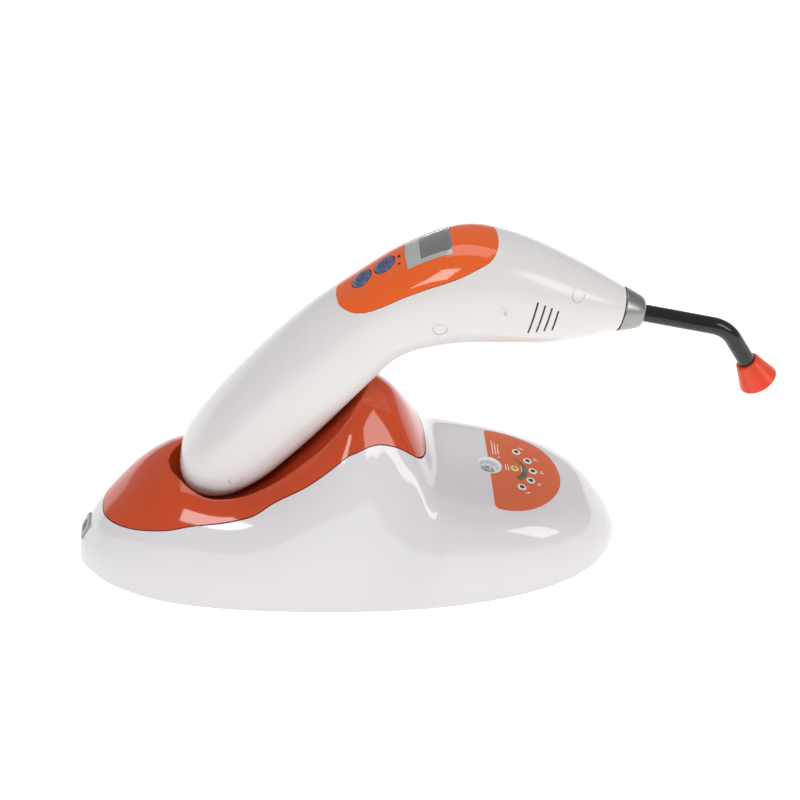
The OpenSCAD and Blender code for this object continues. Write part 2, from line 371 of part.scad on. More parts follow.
module guide_o_ring() place() color([0.1, 0.1, 0.1]) nose(0.55 + 5.65) rotate_extrude() translate([4.99, 0]) circle(r = 0.33, $fn = 24);
module guide_ferrule() place() color([0.72, 0.72, 0.72]) nose(1.2) tube(guide_d / 2 + 0.02, 4.64, collar_l - 1.4);
// the guide's centreline, in its own plane: straight, bend, straight; each row is x, z, pitch
guide_path = let (L1 = guide_reach - guide_bend_r * tan(bend / 2), bx = nose_x + L1 * cos(nose_pitch), bz = nose_z - L1 * sin(nose_pitch),
    cx = bx - guide_bend_r * sin(nose_pitch), cz = bz - guide_bend_r * cos(nose_pitch),
    ex = corner_x + (tip_len + 5.5) * cos(tip_pitch), ez = corner_z - (tip_len + 5.5) * sin(tip_pitch))
    concat([[nose_x + 1.2 * cos(nose_pitch), nose_z - 1.2 * sin(nose_pitch), nose_pitch]],
        [for (i = [0:9]) let (a = nose_pitch + bend * i / 9) [cx + guide_bend_r * sin(a), cz + guide_bend_r * cos(a), a]], [[ex, ez, tip_pitch]]);
module light_guide() place() color([0.05, 0.05, 0.06])
    loft([for (g = guide_path) [for (j = [0:31]) let (a = j * 11.25, r = guide_d / 2)
        [g[0] + r * cos(a) * sin(g[2]), r * sin(a), g[1] + r * cos(a) * cos(g[2])]]]);
module eye_shield() place() color([0.88, 0.2, 0.06]) tip() difference() {
    rotate_extrude() polygon([[3.8, 0], [4.9, 0], [5.15, 0.3], [shield_d / 2, 11.4], [shield_d / 2, 12], [shield_d / 2 - 1.1, 12], [4.55, 3.2], [3.8, 3.0]]);
    translate([0, 0, -1]) cylinder(r = guide_d / 2 + 0.06, h = 5);
}
module shell_screws() place() color([0.6, 0.6, 0.62]) for (c = CAPS) translate([c[0], -8.2, c[1]]) rotate([-90, 0, 0])
    rotate_extrude() polygon([[0, 0], [2.5, 0], [2.5, 1.4], [1.3, 1.4], [1.3, 14], [0.5, 15], [0, 15]]);
module screw_caps() place() color([0.95, 0.94, 0.92]) intersection() {
    hp_solid(0.12, 3, hp_end, 42, 28);
    union() for (c = CAPS) translate([c[0], -10.5, c[1]]) rotate([90, 0, 0]) cylinder(r = cap_d / 2, h = 30, $fn = 32);
}

base_cover();
base_plate();
cradle();
meter_label();
meter_leds();
status_led();
sensor_seat();
sensor_window();
light_sensor();
meter_board();
base_board();
dc_jack();
pin_holder();
charge_pins();
pin_springs();
base_feet();
base_screws();
cradle_screws();
base_harness();
shell_left();
shell_right();
control_panel();
lcd_window();
lcd_module();
power_button();
mode_button();
tact_switches();
control_board();
driver_board();
buzzer();
battery();
battery_holder();
battery_terminals();
charge_contacts();
fan_frame();
fan_rotor();
heat_sink();
led_board();
led_emitter();
lens_holder();
beam_lens();
nose_gasket();
nose_collar();
guide_o_ring();
guide_ferrule();
light_guide();
eye_shield();
shell_screws();
screw_caps();
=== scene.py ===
import json
import math

import bmesh
import bpy
import numpy as np
from mathutils import Matrix, Vector

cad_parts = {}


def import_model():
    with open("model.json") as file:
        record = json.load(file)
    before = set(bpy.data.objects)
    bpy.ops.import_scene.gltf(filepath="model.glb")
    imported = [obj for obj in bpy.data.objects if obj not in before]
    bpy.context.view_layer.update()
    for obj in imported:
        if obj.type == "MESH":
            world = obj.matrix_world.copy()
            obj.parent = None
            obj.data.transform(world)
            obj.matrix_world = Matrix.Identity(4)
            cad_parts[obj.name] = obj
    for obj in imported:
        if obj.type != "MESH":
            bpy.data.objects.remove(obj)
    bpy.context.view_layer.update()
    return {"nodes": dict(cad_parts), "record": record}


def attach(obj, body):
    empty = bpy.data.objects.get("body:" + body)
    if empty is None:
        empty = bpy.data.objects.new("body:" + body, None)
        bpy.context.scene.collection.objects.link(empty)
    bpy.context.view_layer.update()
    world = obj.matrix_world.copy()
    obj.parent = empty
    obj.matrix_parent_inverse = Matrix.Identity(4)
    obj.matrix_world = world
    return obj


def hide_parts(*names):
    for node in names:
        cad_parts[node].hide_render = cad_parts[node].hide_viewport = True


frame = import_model()
NODES = frame["nodes"]
rad = math.radians

# ------------------------------------------------------------------ curves and surfaces, in mm
NP, TP = rad(14.7), rad(60)
NOSE = np.array([117.0, 0.0, 123.0])
NA = np.array([math.cos(NP), 0, -math.sin(NP)])
TA = np.array([math.cos(TP), 0, -math.sin(TP)])
CORNER = NOSE + 49.1 * NA
TIP = CORNER + 20.5 * TA
SHIFT = (CORNER[0] + 32.5 * math.cos(TP) + 8.6 * math.sin(TP) - 120.5) / 2


def m(P):
    """Millimetres along the base to metres in the row frame."""
    P = np.array(P, float)
    P[..., 0] -= SHIFT
    return P / 1000


class Curve:
    """A C2 curve through evenly numbered stations."""

    def __init__(s, P):
        P = np.asarray(P, float)
        n = len(P)
        A, R = np.zeros((n, n)), np.zeros_like(P)
        A[0, 0] = A[-1, -1] = 1
        for i in range(1, n - 1):
            A[i, i - 1] = A[i, i + 1] = 1
            A[i, i] = 4
            R[i] = 6 * (P[i + 1] - 2 * P[i] + P[i - 1])
        s.P, s.M, s.n = P, np.linalg.solve(A, R), n

    def __call__(s, t):
        t = np.asarray(t, float)
        i = np.clip(np.floor(t).astype(int), 0, s.n - 2)
        u = (t - i)[..., None]
        v = 1 - u
        return v * s.P[i] + u * s.P[i + 1] + ((v**3 - v) * s.M[i] + (u**3 - u) * s.M[i + 1]) / 6


def cr(P, t):
    P, t = np.asarray(P, float), np.asarray(t, float)
    n = len(P)
    i = np.clip(np.floor(t).astype(int), 0, n - 2)
    u = (t - i)[..., None]
    a, b, c, d = P[np.maximum(i - 1, 0)], P[i], P[i + 1], P[np.minimum(i + 2, n - 1)]
    return 0.5 * (2 * b + (c - a) * u + (2 * a - 5 * b + 4 * c - d) * u**2 + (3 * b - a - 3 * c + d) * u**3)


HP = [[-69.7, 41, -69.7, 41, .01, 2.2], [-72.2, 46.8, -63.7, 37.2, 9.5, 2.2], [-72.4, 51.5, -58, 36.3, 14, 2.3], [-71.2, 58, -51, 37.8, 17.6, 2.4],
      [-67.4, 65.8, -43.5, 41.6, 20, 2.5], [-60.3, 76.4, -34, 48, 21.2, 2.5], [-52.4, 86.4, -24, 57.2, 21.5, 2.5], [-41.8, 98.5, -12.4, 69, 21.5, 2.5],
      [-31, 109.9, -2, 80.6, 21.5, 2.5], [-20.7, 120, 7.4, 91.2, 21, 2.5], [-11.5, 128.3, 15, 99.3, 20, 2.5], [-2.5, 135.2, 22, 106.2, 19.2, 2.5],
      [8, 142.7, 29, 110.6, 19.4, 2.5], [17.8, 149.4, 35.5, 112.6, 20.2, 2.5], [26.3, 154.3, 41.5, 113.6, 21, 2.45], [36.2, 159, 47.8, 114.2, 21.8, 2.4],
      [46, 162, 54.5, 114.3, 22.4, 2.4], [57.5, 162.6, 62.5, 113.9, 22.4, 2.4], [72, 158.8, 73.5, 112.7, 21.3, 2.35], [86, 152.6, 85, 111.6, 19.2, 2.3],
      [98, 146, 95.8, 111.6, 16.4, 2.2], [108.5, 139.7, 105.5, 112.4, 13.4, 2.1], [119.5, 132.4, 114.5, 113.6, 9.7, 2]]
BV = [[-120.5, .01, 1.01, 2.2], [-120.1, 4.2, 6, 2.2], [-118.9, 8, 11, 2.3], [-116.5, 12.2, 16, 2.3], [-112, 18, 22.4, 2.4], [-105, 24.6, 30.2, 2.4],
      [-96, 30.4, 39, 2.5], [-87, 35, 46, 2.5], [-77, 38.6, 50.3, 2.6], [-67, 41.2, 51, 2.7], [-56, 43.4, 50, 2.9], [-45, 45.2, 51, 3], [-33, 46.6, 56, 3],
      [-20.5, 47.8, 65.8, 2.9], [-8, 48.7, 78.5, 2.6], [2, 49.2, 88.5, 2.2], [10, 49.5, 91.5, 1.8], [16, 49.6, 89.5, 1.65], [22, 49.5, 83.5, 1.65],
      [28, 49.4, 73, 1.8], [33, 49.2, 61.5, 2.2], [37.5, 48.9, 52, 2.7], [42, 48.5, 47.2, 3.3], [50, 47.6, 44, 3.6], [60, 46, 41.6, 3.7], [70, 43.9, 39.3, 3.7],
      [80, 41.2, 36.8, 3.6], [90, 37.3, 34.2, 3.4], [98, 33.2, 31, 3.2], [105, 28.4, 27, 3], [111, 22.8, 21.5, 2.8], [116, 16.4, 15.6, 2.6],
      [119.6, 9.8, 10, 2.4], [121.5, 4.8, 5, 2.2], [122, .01, 1.01, 2.2]]
ZB = [[-112, 25], [-107.5, 27], [-102, 29], [-96, 31], [-86, 34], [-77, 36.5], [-68, 39], [-56.5, 40.6], [-45, 43], [-38, 46], [-31, 50.5], [-17, 59.6],
      [-3, 70.5], [3, 73.5], [11, 74], [19.5, 71], [25.6, 66.5], [32.6, 59.5], [36.5, 54.5], [39.5, 52], [44, 53]]
PK = [[-77.4, 1.5, 49], [-76.6, 5, 46.5], [-75, 8.6, 43], [-72, 13, 38.6], [-68, 17.8, 35.7], [-62, 22, 34.1], [-56, 23.4, 33.9], [-50, 23.8, 35.3],
      [-43.5, 23.8, 39.2], [-34, 23.3, 45.8], [-24, 23.1, 55], [-12.4, 23, 66.8], [-4, 21.4, 76.2], [2, 17.6, 82.8], [6, 12.6, 87], [9, 7.6, 89.8],
      [11.2, 2.5, 91], [11.5, 1.2, 91.1]]
PANEL = [[11, 1], [11.04, 16], [11.15, 27], [11.35, 39], [11.6, 47], [11.95, 52.5], [12.6, 56], [13.6, 56.5], [14.6, 56.5], [15.4, 56], [16, 53.5],
         [16.5, 49], [17, 41], [17.25, 33], [17.42, 21], [17.5, 8], [17.51, 1]]
CAPS = [[-48.1, 54.3], [39.4, 130.2], [97.5, 139.8]]
SLOTS = [[79.8, 140.7, 76.2, 126.2], [82.9, 138.7, 79.7, 126.2], [85.8, 136.9, 83, 126.2], [88.6, 135, 86.4, 126.2]]
B1, B2, BD = [8.2, 142.85, 35.5], [17.8, 149.4, 31.5], 9.8
HPC, BVC, ZBC, PKC = Curve(HP), Curve(BV), Curve(ZB), Curve(PK)
tz = np.linspace(0, len(ZB) - 1, 4000)
zbx, zbz = ZBC(tz).T
tb = np.linspace(0, len(BV) - 1, 20001)
bvx = np.maximum.accumulate(BVC(tb)[:, 0])
tk = np.linspace(0, len(PK) - 1, 4000)
pkx, pky, pkz = PKC(tk).T
pkx = np.maximum.accumulate(pkx)


def spw(c, n):
    return np.sign(c) * np.abs(c) ** (2 / n)


def hp(t, th, off=0.0):
    """Handpiece skin: station t, angle th in degrees from the crest, offset outwards."""
    t, th, off = np.broadcast_arrays(np.asarray(t, float), np.asarray(th, float), np.asarray(off, float))
    s = HPC(t)
    hx, hz = (s[..., 0] - s[..., 2]) / 2, (s[..., 1] - s[..., 3]) / 2
    H = np.maximum(np.hypot(hx, hz), 1e-3)
    th = np.radians(th)
    a = np.maximum(H + off, .01) * spw(np.cos(th), s[..., 5])
    y = np.maximum(s[..., 4] + off, .01) * spw(np.sin(th), s[..., 5])
    return np.stack([(s[..., 0] + s[..., 2]) / 2 + a * hx / H, y, (s[..., 1] + s[..., 3]) / 2 + a * hz / H], -1)


def hp_y(x, z):
    """Half width of the handpiece at a point of its side view."""
    lo, hi = 0.5, len(HP) - 1.0
    def side(t):
        s = HPC(t)
        mid = np.array([s[0] + s[2], s[1] + s[3]]) / 2
        d = np.array([s[0] - s[2], s[1] - s[3]])
        d /= np.linalg.norm(d)
        v = np.array([x, z]) - mid
        return v[0] * d[1] - v[1] * d[0], v @ d, s
    for _ in range(40):
        t = (lo + hi) / 2
        if side(t)[0] > 0:
            lo = t
        else:
            hi = t
    c, along, s = side((lo + hi) / 2)
    H = math.hypot(s[0] - s[2], s[1] - s[3]) / 2
    q = min(abs(along) / H, .999)
    return s[4] * (1 - q ** s[5]) ** (1 / s[5])


def bsec(x):
    s = BVC(np.interp(x, bvx, tb))
    return np.maximum(s[..., 1], .01), np.maximum(s[..., 2], 1.01), s[..., 3]


def bv(x, th, off=0.0):
    w, h, n = bsec(x)
    th = np.radians(th)
    return np.stack(np.broadcast_arrays(x, -np.maximum(w - off, .005) * spw(np.cos(th), n), 1 + np.maximum(h - 1 - off, .005) * spw(np.sin(th), n)), -1)


def bvz(x, y):
    w, h, n = bsec(x)
    q = np.clip(np.abs(y) / w, 0, .9995)
    return 1 + (h - 1) * (1 - q**n) ** (1 / n)


def parting(x, gap):
    """Angle up the base's side of the parting line, 90 where the line passes over the crest."""
    w, h, n = bsec(x)
    z = np.interp(x, zbx, zbz) + gap
    q = (z - 1) / np.maximum(h - 1, .01)
    a = np.degrees(np.arcsin(np.clip(q, 0, 1) ** (n / 2)))
    return np.where((x < zbx[0]) | (x > zbx[-1]) | (q >= 1), 90.0, a)


# ------------------------------------------------------------------ mesh helpers
def obj(name, V, F, mat, body, replaces=(), smooth=True, sharp=None):
    me = bpy.data.meshes.new(name)
    me.from_pydata([tuple(p) for p in np.asarray(V)], [], [tuple(int(i) for i in f) for f in F])
    bm = bmesh.new()
    bm.from_mesh(me)
    bmesh.ops.remove_doubles(bm, verts=bm.verts, dist=2e-6)
    bmesh.ops.dissolve_degenerate(bm, edges=bm.edges, dist=1e-6)
    bmesh.ops.recalc_face_normals(bm, faces=bm.faces)
    bm.to_mesh(me)
    bm.free()
    me.polygons.foreach_set("use_smooth", [smooth] * len(me.polygons))
    o = bpy.data.objects.new(name, me)
    bpy.context.scene.collection.objects.link(o)
    if mat:
        me.materials.append(mat)
    if sharp:
        me.set_sharp_from_angle(angle=rad(sharp))
    if body:
        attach(o, body)
    if replaces:
        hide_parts(*replaces)
    return o


def quads(r, c, cu=False, cv=False, base=0):
    F = []
    for i in range(r if cu else r - 1):
        for j in range(c if cv else c - 1):
            a, b = i * c + j, i * c + (j + 1) % c
            k, l = ((i + 1) % r) * c + (j + 1) % c, ((i + 1) % r) * c + j
            F.append((base + a, base + b, base + k, base + l))
    return F


def apply_mods(o):
    dg = bpy.context.evaluated_depsgraph_get()
    me = bpy.data.meshes.new_from_object(o.evaluated_get(dg))
    o.modifiers.clear()
    o.data = me


def thick(o, t, keep_out=True):
    s = o.modifiers.new("t", "SOLIDIFY")
    s.thickness, s.offset, s.use_rim, s.use_even_offset = t / 1000, -1, True, False
    apply_mods(o)


def outward(o, centre):
    """Turns an open skin's faces away from a point inside it, in mm."""
    c = Vector(m(centre))
    bm = bmesh.new()
    bm.from_mesh(o.data)
    bm.normal_update()
    s = sum(f.calc_area() * f.normal.dot((f.calc_center_median() - c).normalized()) for f in bm.faces)
    if s < 0:
        bmesh.ops.reverse_faces(bm, faces=bm.faces)
    bm.to_mesh(o.data)
    bm.free()


def cut(o, cutters, op="DIFFERENCE"):
    for c in cutters:
        b = o.modifiers.new("b", "BOOLEAN")
        b.operation, b.solver, b.object = op, "EXACT", c
        apply_mods(o)
    for c in cutters:
        bpy.data.objects.remove(c)


def finish_mesh(o, angle=32):
    o.data.polygons.foreach_set("use_smooth", [True] * len(o.data.polygons))
    o.data.set_sharp_from_angle(angle=rad(angle))


def lathe(prof, o, z, n=96, closed=False):
    """Rings round the axis through o along z; prof rows are radius, height. Returns V, F."""
    z = np.array(z, float) / np.linalg.norm(z)
    u = np.cross([0, 1, 0], z)
    u = u / np.linalg.norm(u) if np.linalg.norm(u) > .1 else np.array([1.0, 0, 0])
    w = np.cross(z, u)
    a = np.linspace(0, 2 * math.pi, n, endpoint=False)
    V = [np.array(o) + h * z + r * (np.cos(b) * u + np.sin(b) * w) for r, h in prof for b in a]
    F = quads(len(prof), n, cu=closed, cv=True)
    return np.array(V), F


def round_prof(P, r=.25, k=3):
    """Rounds the corners of an open profile. A row is radius, height and optionally its own corner radius."""
    P = [list(p) for p in P]
    out = [P[0][:2]]
    for a, b, c in zip(P, P[1:], P[2:]):
        q = b[2] if len(b) > 2 else r
        A, B, C = np.array(a[:2]), np.array(b[:2]), np.array(c[:2])
        la, lc = np.linalg.norm(A - B), np.linalg.norm(C - B)
        d = min(q, la * .45, lc * .45)
        if d < 1e-4:
            out.append(list(B))
            continue
        p, s = B + (A - B) / la * d, B + (C - B) / lc * d
        for i in range(k + 1):
            t = i / k
            out.append(list((1 - t) ** 2 * p + 2 * t * (1 - t) * B + t * t * s))
    out.append(P[-1][:2])
    return out


def lathe_obj(name, prof, o, z, mat, body, replaces=(), n=96, closed=False, r=.2, sharp=40):
    if r:
        prof = round_prof(prof + ([prof[0]] if closed else []), r)
        if closed:
            prof = prof[:-1]
    V, F = lathe(prof, o, z, n, closed)
    return obj(name, m(V), F, mat, body, replaces, sharp=sharp)


def prism(name, poly, a, b, to3):
    """Closed prism over a polygon; to3(points, height) gives mm."""
    P = np.array(poly, float)
    n = len(P)
    V = np.concatenate([to3(P, a), to3(P, b)])
    F = [tuple(range(n)), tuple(range(2 * n - 1, n - 1, -1))] + [(i, (i + 1) % n, n + (i + 1) % n, n + i) for i in range(n)]
    return obj(name, m(V), F, None, None, smooth=False)


# ------------------------------------------------------------------ materials
def nodes_of(mat):
    mat.use_nodes = True
    nt = mat.node_tree
    return nt, nt.nodes["Principled BSDF"]


def plastic(name, col, rough=.18, var=.02, bump=.02, scale=900, coat=.0, spec=.5, sss=0.0, metal=0.0, rvar=.04, big=28, tint=None, ior=1.5):
    """Moulded plastic: faint colour drift, fine uneven gloss and a slight surface texture, all in object space."""
    mat = bpy.data.materials.new(name)
    nt, p = nodes_of(mat)
    N, L = nt.nodes, nt.links
    tc = N.new("ShaderNodeTexCoord")
    n1 = N.new("ShaderNodeTexNoise")
    n1.inputs["Scale"].default_value = big
    n1.inputs["Detail"].default_value = 3
    L.new(tc.outputs["Object"], n1.inputs["Vector"])
    ramp = N.new("ShaderNodeValToRGB")
    c = np.array(col[:3])
    t = np.array(tint if tint is not None else c)
    lo, hi = np.clip(c * (1 - var), 0, 1), np.clip(t * (1 + var), 0, 1)
    ramp.color_ramp.elements[0].position, ramp.color_ramp.elements[1].position = .35, .65
    ramp.color_ramp.elements[0].color, ramp.color_ramp.elements[1].color = (*lo, 1), (*hi, 1)
    L.new(n1.outputs["Fac"], ramp.inputs["Fac"])
    L.new(ramp.outputs["Color"], p.inputs["Base Color"])
    n2 = N.new("ShaderNodeTexNoise")
    n2.inputs["Scale"].default_value = scale
    n2.inputs["Detail"].default_value = 4
    L.new(tc.outputs["Object"], n2.inputs["Vector"])
    mr = N.new("ShaderNodeMapRange")
    mr.inputs["To Min"].default_value, mr.inputs["To Max"].default_value = max(rough - rvar, .01), rough + rvar
    L.new(n2.outputs["Fac"], mr.inputs["Value"])
    L.new(mr.outputs["Result"], p.inputs["Roughness"])
    if bump:
        b = N.new("ShaderNodeBump")
        b.inputs["Strength"].default_value = bump
        b.inputs["Distance"].default_value = .0002
        L.new(n2.outputs["Fac"], b.inputs["Height"])
        L.new(b.outputs["Normal"], p.inputs["Normal"])
    p.inputs["Metallic"].default_value = metal
    p.inputs["IOR"].default_value = ior
    p.inputs["Coat Weight"].default_value = coat
    p.inputs["Coat Roughness"].default_value = .03
    if sss:
        p.inputs["Subsurface Weight"].default_value = sss
        p.inputs["Subsurface Radius"].default_value = (.003, .002, .0015)
        p.inputs["Subsurface Scale"].default_value = 1.0
    return mat


def brushed(name, col, axis_rot=(0, 0, 0), rough=.28):
    """Turned metal: fine rings round the nose axis."""
    mat = bpy.data.materials.new(name)
    nt, p = nodes_of(mat)
    N, L = nt.nodes, nt.links
    tc = N.new("ShaderNodeTexCoord")
    mp = N.new("ShaderNodeMapping")
    mp.inputs["Rotation"].default_value = axis_rot
    mp.inputs["Scale"].default_value = (9000, 160, 160)
    L.new(tc.outputs["Object"], mp.inputs["Vector"])
    n = N.new("ShaderNodeTexNoise")
    n.inputs["Scale"].default_value = 1
    n.inputs["Detail"].default_value = 5
    L.new(mp.outputs["Vector"], n.inputs["Vector"])
    ramp = N.new("ShaderNodeValToRGB")
    c = np.array(col)
    ramp.color_ramp.elements[0].color, ramp.color_ramp.elements[1].color = (*(c * .78), 1), (*np.clip(c * 1.12, 0, 1), 1)
    L.new(n.outputs["Fac"], ramp.inputs["Fac"])
    L.new(ramp.outputs["Color"], p.inputs["Base Color"])
    mr = N.new("ShaderNodeMapRange")
    mr.inputs["To Min"].default_value, mr.inputs["To Max"].default_value = rough - .08, rough + .1
    L.new(n.outputs["Fac"], mr.inputs["Value"])
    L.new(mr.outputs["Result"], p.inputs["Roughness"])
    b = N.new("ShaderNodeBump")
    b.inputs["Strength"].default_value = .12
    b.inputs["Distance"].default_value = .0001
    L.new(n.outputs["Fac"], b.inputs["Height"])
    L.new(b.outputs["Normal"], p.inputs["Normal"])
    p.inputs["Metallic"].default_value = 1
    return mat


def glassy(name, col, rough=.03):
    mat = plastic(name, col, rough=rough + .02, var=.01, bump=.0, rvar=.015)
    p = mat.node_tree.nodes["Principled BSDF"]
    p.inputs["Transmission Weight"].default_value = .92
    p.inputs["IOR"].default_value = 1.46
    return mat


M = {
    "base_white": plastic("base_white", (.70, .675, .69), rough=.075, var=.006, bump=.004, coat=.35, rvar=.02),
    "shell_white": plastic("shell_white", (.72, .70, .675), rough=.24, var=.008, bump=.012, coat=.22, rvar=.04, tint=(.72, .70, .68)),
    "cradle_orange": plastic("cradle_orange", (.56, .058, .008), rough=.08, var=.03, bump=.004, coat=.15, rvar=.02, sss=.0),
    "panel_orange": plastic("panel_orange", (.80, .115, .010), rough=.07, var=.03, bump=.004, coat=.15, rvar=.02),
    "label_orange": plastic("label_orange", (.66, .13, .045), rough=.42, var=.03, bump=.05, scale=2400),
    "button_blue": plastic("button_blue", (.07, .095, .20), rough=.3, var=.06, bump=.05, scale=2600, coat=.15),
    "shield_red": plastic("shield_red", (.76, .052, .010), rough=.34, var=.05, bump=.05, scale=1500, sss=.15),
    "guide_black": plastic("guide_black", (.006, .006, .006), rough=.09, var=.1, bump=.0, coat=.0, rvar=.02),
    "dark": plastic("dark", (.012, .012, .013), rough=.5, var=.1, bump=.1),
    "chip_black": plastic("chip_black", (.02, .02, .022), rough=.42, var=.15, bump=.12, scale=3000),
    "gasket": plastic("gasket", (.016, .015, .014), rough=.6, var=.1, bump=.1, scale=2500),
    "rubber": plastic("rubber", (.03, .03, .032), rough=.72, var=.15, bump=.2, scale=2200),
    "jack_grey": plastic("jack_grey", (.36, .36, .38), rough=.34, var=.04, bump=.06, scale=2200),
    "plate_grey": plastic("plate_grey", (.66, .65, .67), rough=.5, var=.03, bump=.25, scale=2600),
    "well_white": plastic("well_white", (.80, .80, .81), rough=.3, var=.01, bump=.03),
    "ink_white": plastic("ink_white", (.86, .78, .74), rough=.45, var=.02, bump=.02),
    "ink_green": plastic("ink_green", (.135, .125, .06), rough=.42, var=.25, bump=.04, big=160, tint=(.115, .14, .085)),
    "bezel": plastic("bezel", (.78, .76, .72), rough=.3, var=.03, bump=.02),
    "led_teal": plastic("led_teal", (.006, .03, .03), rough=.12, var=.1, bump=.0, coat=.4),
    "led_yellow": plastic("led_yellow", (.34, .30, .04), rough=.2, var=.1, bump=.0, coat=.4),
    "bezel_yellow": plastic("bezel_yellow", (.80, .62, .28), rough=.3, var=.04, bump=.02),
    "lcd_frame": plastic("lcd_frame", (.80, .76, .75), rough=.16, var=.03, bump=.0, coat=.3),
    "lcd_dark": plastic("lcd_dark", (.085, .082, .082), rough=.14, var=.06, bump=.0, coat=.3),
    "lcd_mark": plastic("lcd_mark", (.20, .03, .03), rough=.2, var=.05, bump=.0),
    "icon": plastic("icon", (.012, .02, .05), rough=.4, var=.05, bump=.0),
    "board_green": plastic("board_green", (.015, .09, .035), rough=.35, var=.2, bump=.15, scale=1600, big=420),
    "gold": plastic("gold", (.80, .55, .2), rough=.22, var=.05, bump=.03, metal=1),
    "steel": brushed("steel", (.55, .55, .56), rough=.3),
    "collar": brushed("collar", (.36, .35, .33), axis_rot=(0, 0, 0), rough=.30),
    "alu": brushed("alu", (.72, .73, .75), rough=.33),
    "wire_red": plastic("wire_red", (.5, .02, .015), rough=.5, var=.05, bump=.05),
    "wrap_blue": plastic("wrap_blue", (.05, .16, .45), rough=.25, var=.05, bump=.03),
    "ceramic": plastic("ceramic", (.75, .75, .72), rough=.5, var=.02, bump=.1),
    "phosphor": plastic("phosphor", (.85, .65, .08), rough=.35, var=.05, bump=.02),
    "clear": glassy("clear", (.92, .95, .97)),
    "lcd_glass": glassy("lcd_glass", (.93, .94, .95)),
}
SLOT_MAT = {"base_white": "base_white", "plate_grey": "plate_grey", "cradle_orange": "cradle_orange", "label_orange": "label_orange", "led_teal": "led_teal",
            "led_yellow": "led_yellow", "well_white": "well_white", "clear_plastic": "clear", "lcd_glass": "lcd_glass", "chip_black": "chip_black",
            "board_green": "board_green", "jack_grey": "jack_grey", "gold_contact": "gold", "spring_steel": "steel", "foot_rubber": "rubber", "screw_steel": "steel",
            "wire_red": "wire_red", "shell_white": "shell_white", "panel_orange": "panel_orange", "lcd_grey": "lcd_frame", "button_blue": "button_blue",
            "cell_wrap": "wrap_blue", "aluminium_fin": "alu", "led_ceramic": "ceramic", "phosphor": "phosphor", "collar_steel": "collar",
            "gasket_black": "gasket", "guide_glass": "guide_black", "shield_red": "shield_red"}
node_slot = {s["node"]: s["material_slot"] for s in frame["record"]["subparts"]}
for name, o in NODES.items():
    o.data.materials.clear()
    o.data.materials.append(M[SLOT_MAT[node_slot[name]]])

# ------------------------------------------------------------------ base cover
def roots(gap):
    x = np.linspace(-112, 44, 60001)
    a = parting(x, gap) < 90
    i = np.where(a)[0]
    return x[i[0]], x[i[-1]]


def stations(x0, x1, step, fine=.12, span=3.0):
    """Rows from x0 to x1, closer together at both ends."""
    e = span * (np.linspace(0, 1, 22) ** 2)
    mid = np.arange(x0 + span, x1 - span, step)
    return np.unique(np.round(np.concatenate([x0 + e, mid, x1 - e]), 5))


c0, c1 = roots(0)
k0, k1 = roots(.35)


def cover():
    t = np.concatenate([np.linspace(0, 3, 40), np.linspace(3, 31, 10)[1:-1], np.linspace(31, 34, 40)])
    ends = BVC(t)[:, 0]
    e = 3.0 * (np.linspace(0, 1, 20) ** 2)
    xs = np.concatenate([ends, np.arange(-112, 112, .9), c0 - e, c0 + e, c1 - e, c1 + e])
    xs = np.unique(np.round(xs, 4))
    xs = xs[(xs >= -120.5) & (xs <= 122)]
    top = parting(xs, 0)
    n = 60
    f = np.linspace(0, 1, n) ** .85
    th = top[:, None] * f[None]
    P = bv(xs[:, None], th)
    L, R = P.copy(), P.copy()
    R[..., 1] *= -1
    shut = top >= 89.999
    L[shut, -1, 1] = 0
    R[shut, -1, 1] = 0
    V = np.concatenate([L.reshape(-1, 3), R.reshape(-1, 3)])
    F = quads(len(xs), n) + quads(len(xs), n, base=len(xs) * n)
    o = obj("base_cover_skin", m(V), F, M["base_white"], None)
    outward(o, [0, 0, 10])
    thick(o, 2.0)
    return o


def cyl(name, o, z, r, a, b, n=64):
    V, F = lathe([[r, a], [r, b]], o, z, n)
    V, F = list(V), list(F)
    F.append(tuple(range(n)))
    F.append(tuple(range(2 * n - 1, n - 1, -1)))
    return obj(name, m(np.array(V)), F, None, None, smooth=False)


sx, tilt = 64.0, rad(13)
SO = np.array([sx, 0, float(bvz(np.array(sx), 0.0))])
SN = np.array([math.sin(tilt), 0, math.cos(tilt)])
jt = rad(28)
JO, JN = np.array([-116.2, 0, 15.2]), np.array([-math.cos(jt), 0, math.sin(jt)])
JU = np.cross([0, 1, 0], JN)


def box_round(name, o, u, v, w, hu, hv, a, b, r, k=5, cutter=False, mat=None, body=None, **kw):
    pts = []
    for cx, cy, s in ((1, 1, 0), (-1, 1, 90), (-1, -1, 180), (1, -1, 270)):
        for i in range(k + 1):
            t = rad(s + 90 * i / k)
            pts.append((cx * (hu - r) + r * math.cos(t), cy * (hv - r) + r * math.sin(t)))
    def to3(P, h):
        return np.array(o) + P[:, :1] * u + P[:, 1:] * v + h * w
    return prism(name, pts, a, b, to3)


co = cover()
Y = np.array([0, 1.0, 0])
cut(co, [cyl("c1", SO, SN, 5.72, -8, 6), box_round("c2", JO, JU, Y, JN, 4.6, 5.1, -14, 8, 1.0)])
finish_mesh(co, 35)
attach(co, "base")
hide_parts("base_cover")


# ------------------------------------------------------------------ cradle
def polyfillet(P, i, r, k=7):
    """Rounds corner i of a polyline by cutting back r along each side."""
    def walk(idx, step):
        left, j = r, idx
        while 0 <= j + step < len(P):
            d = np.linalg.norm(P[j + step] - P[j])
            if d >= left:
                return P[j] + (P[j + step] - P[j]) * left / d, j + step
            left -= d
            j += step
        return P[j], j
    a, ia = walk(i, -1)
    b, ib = walk(i, 1)
    t = np.linspace(0, 1, k)[:, None]
    arc = (1 - t) ** 2 * a + 2 * t * (1 - t) * P[i] + t * t * b
    return P[:ia + 1], arc, P[ib:]


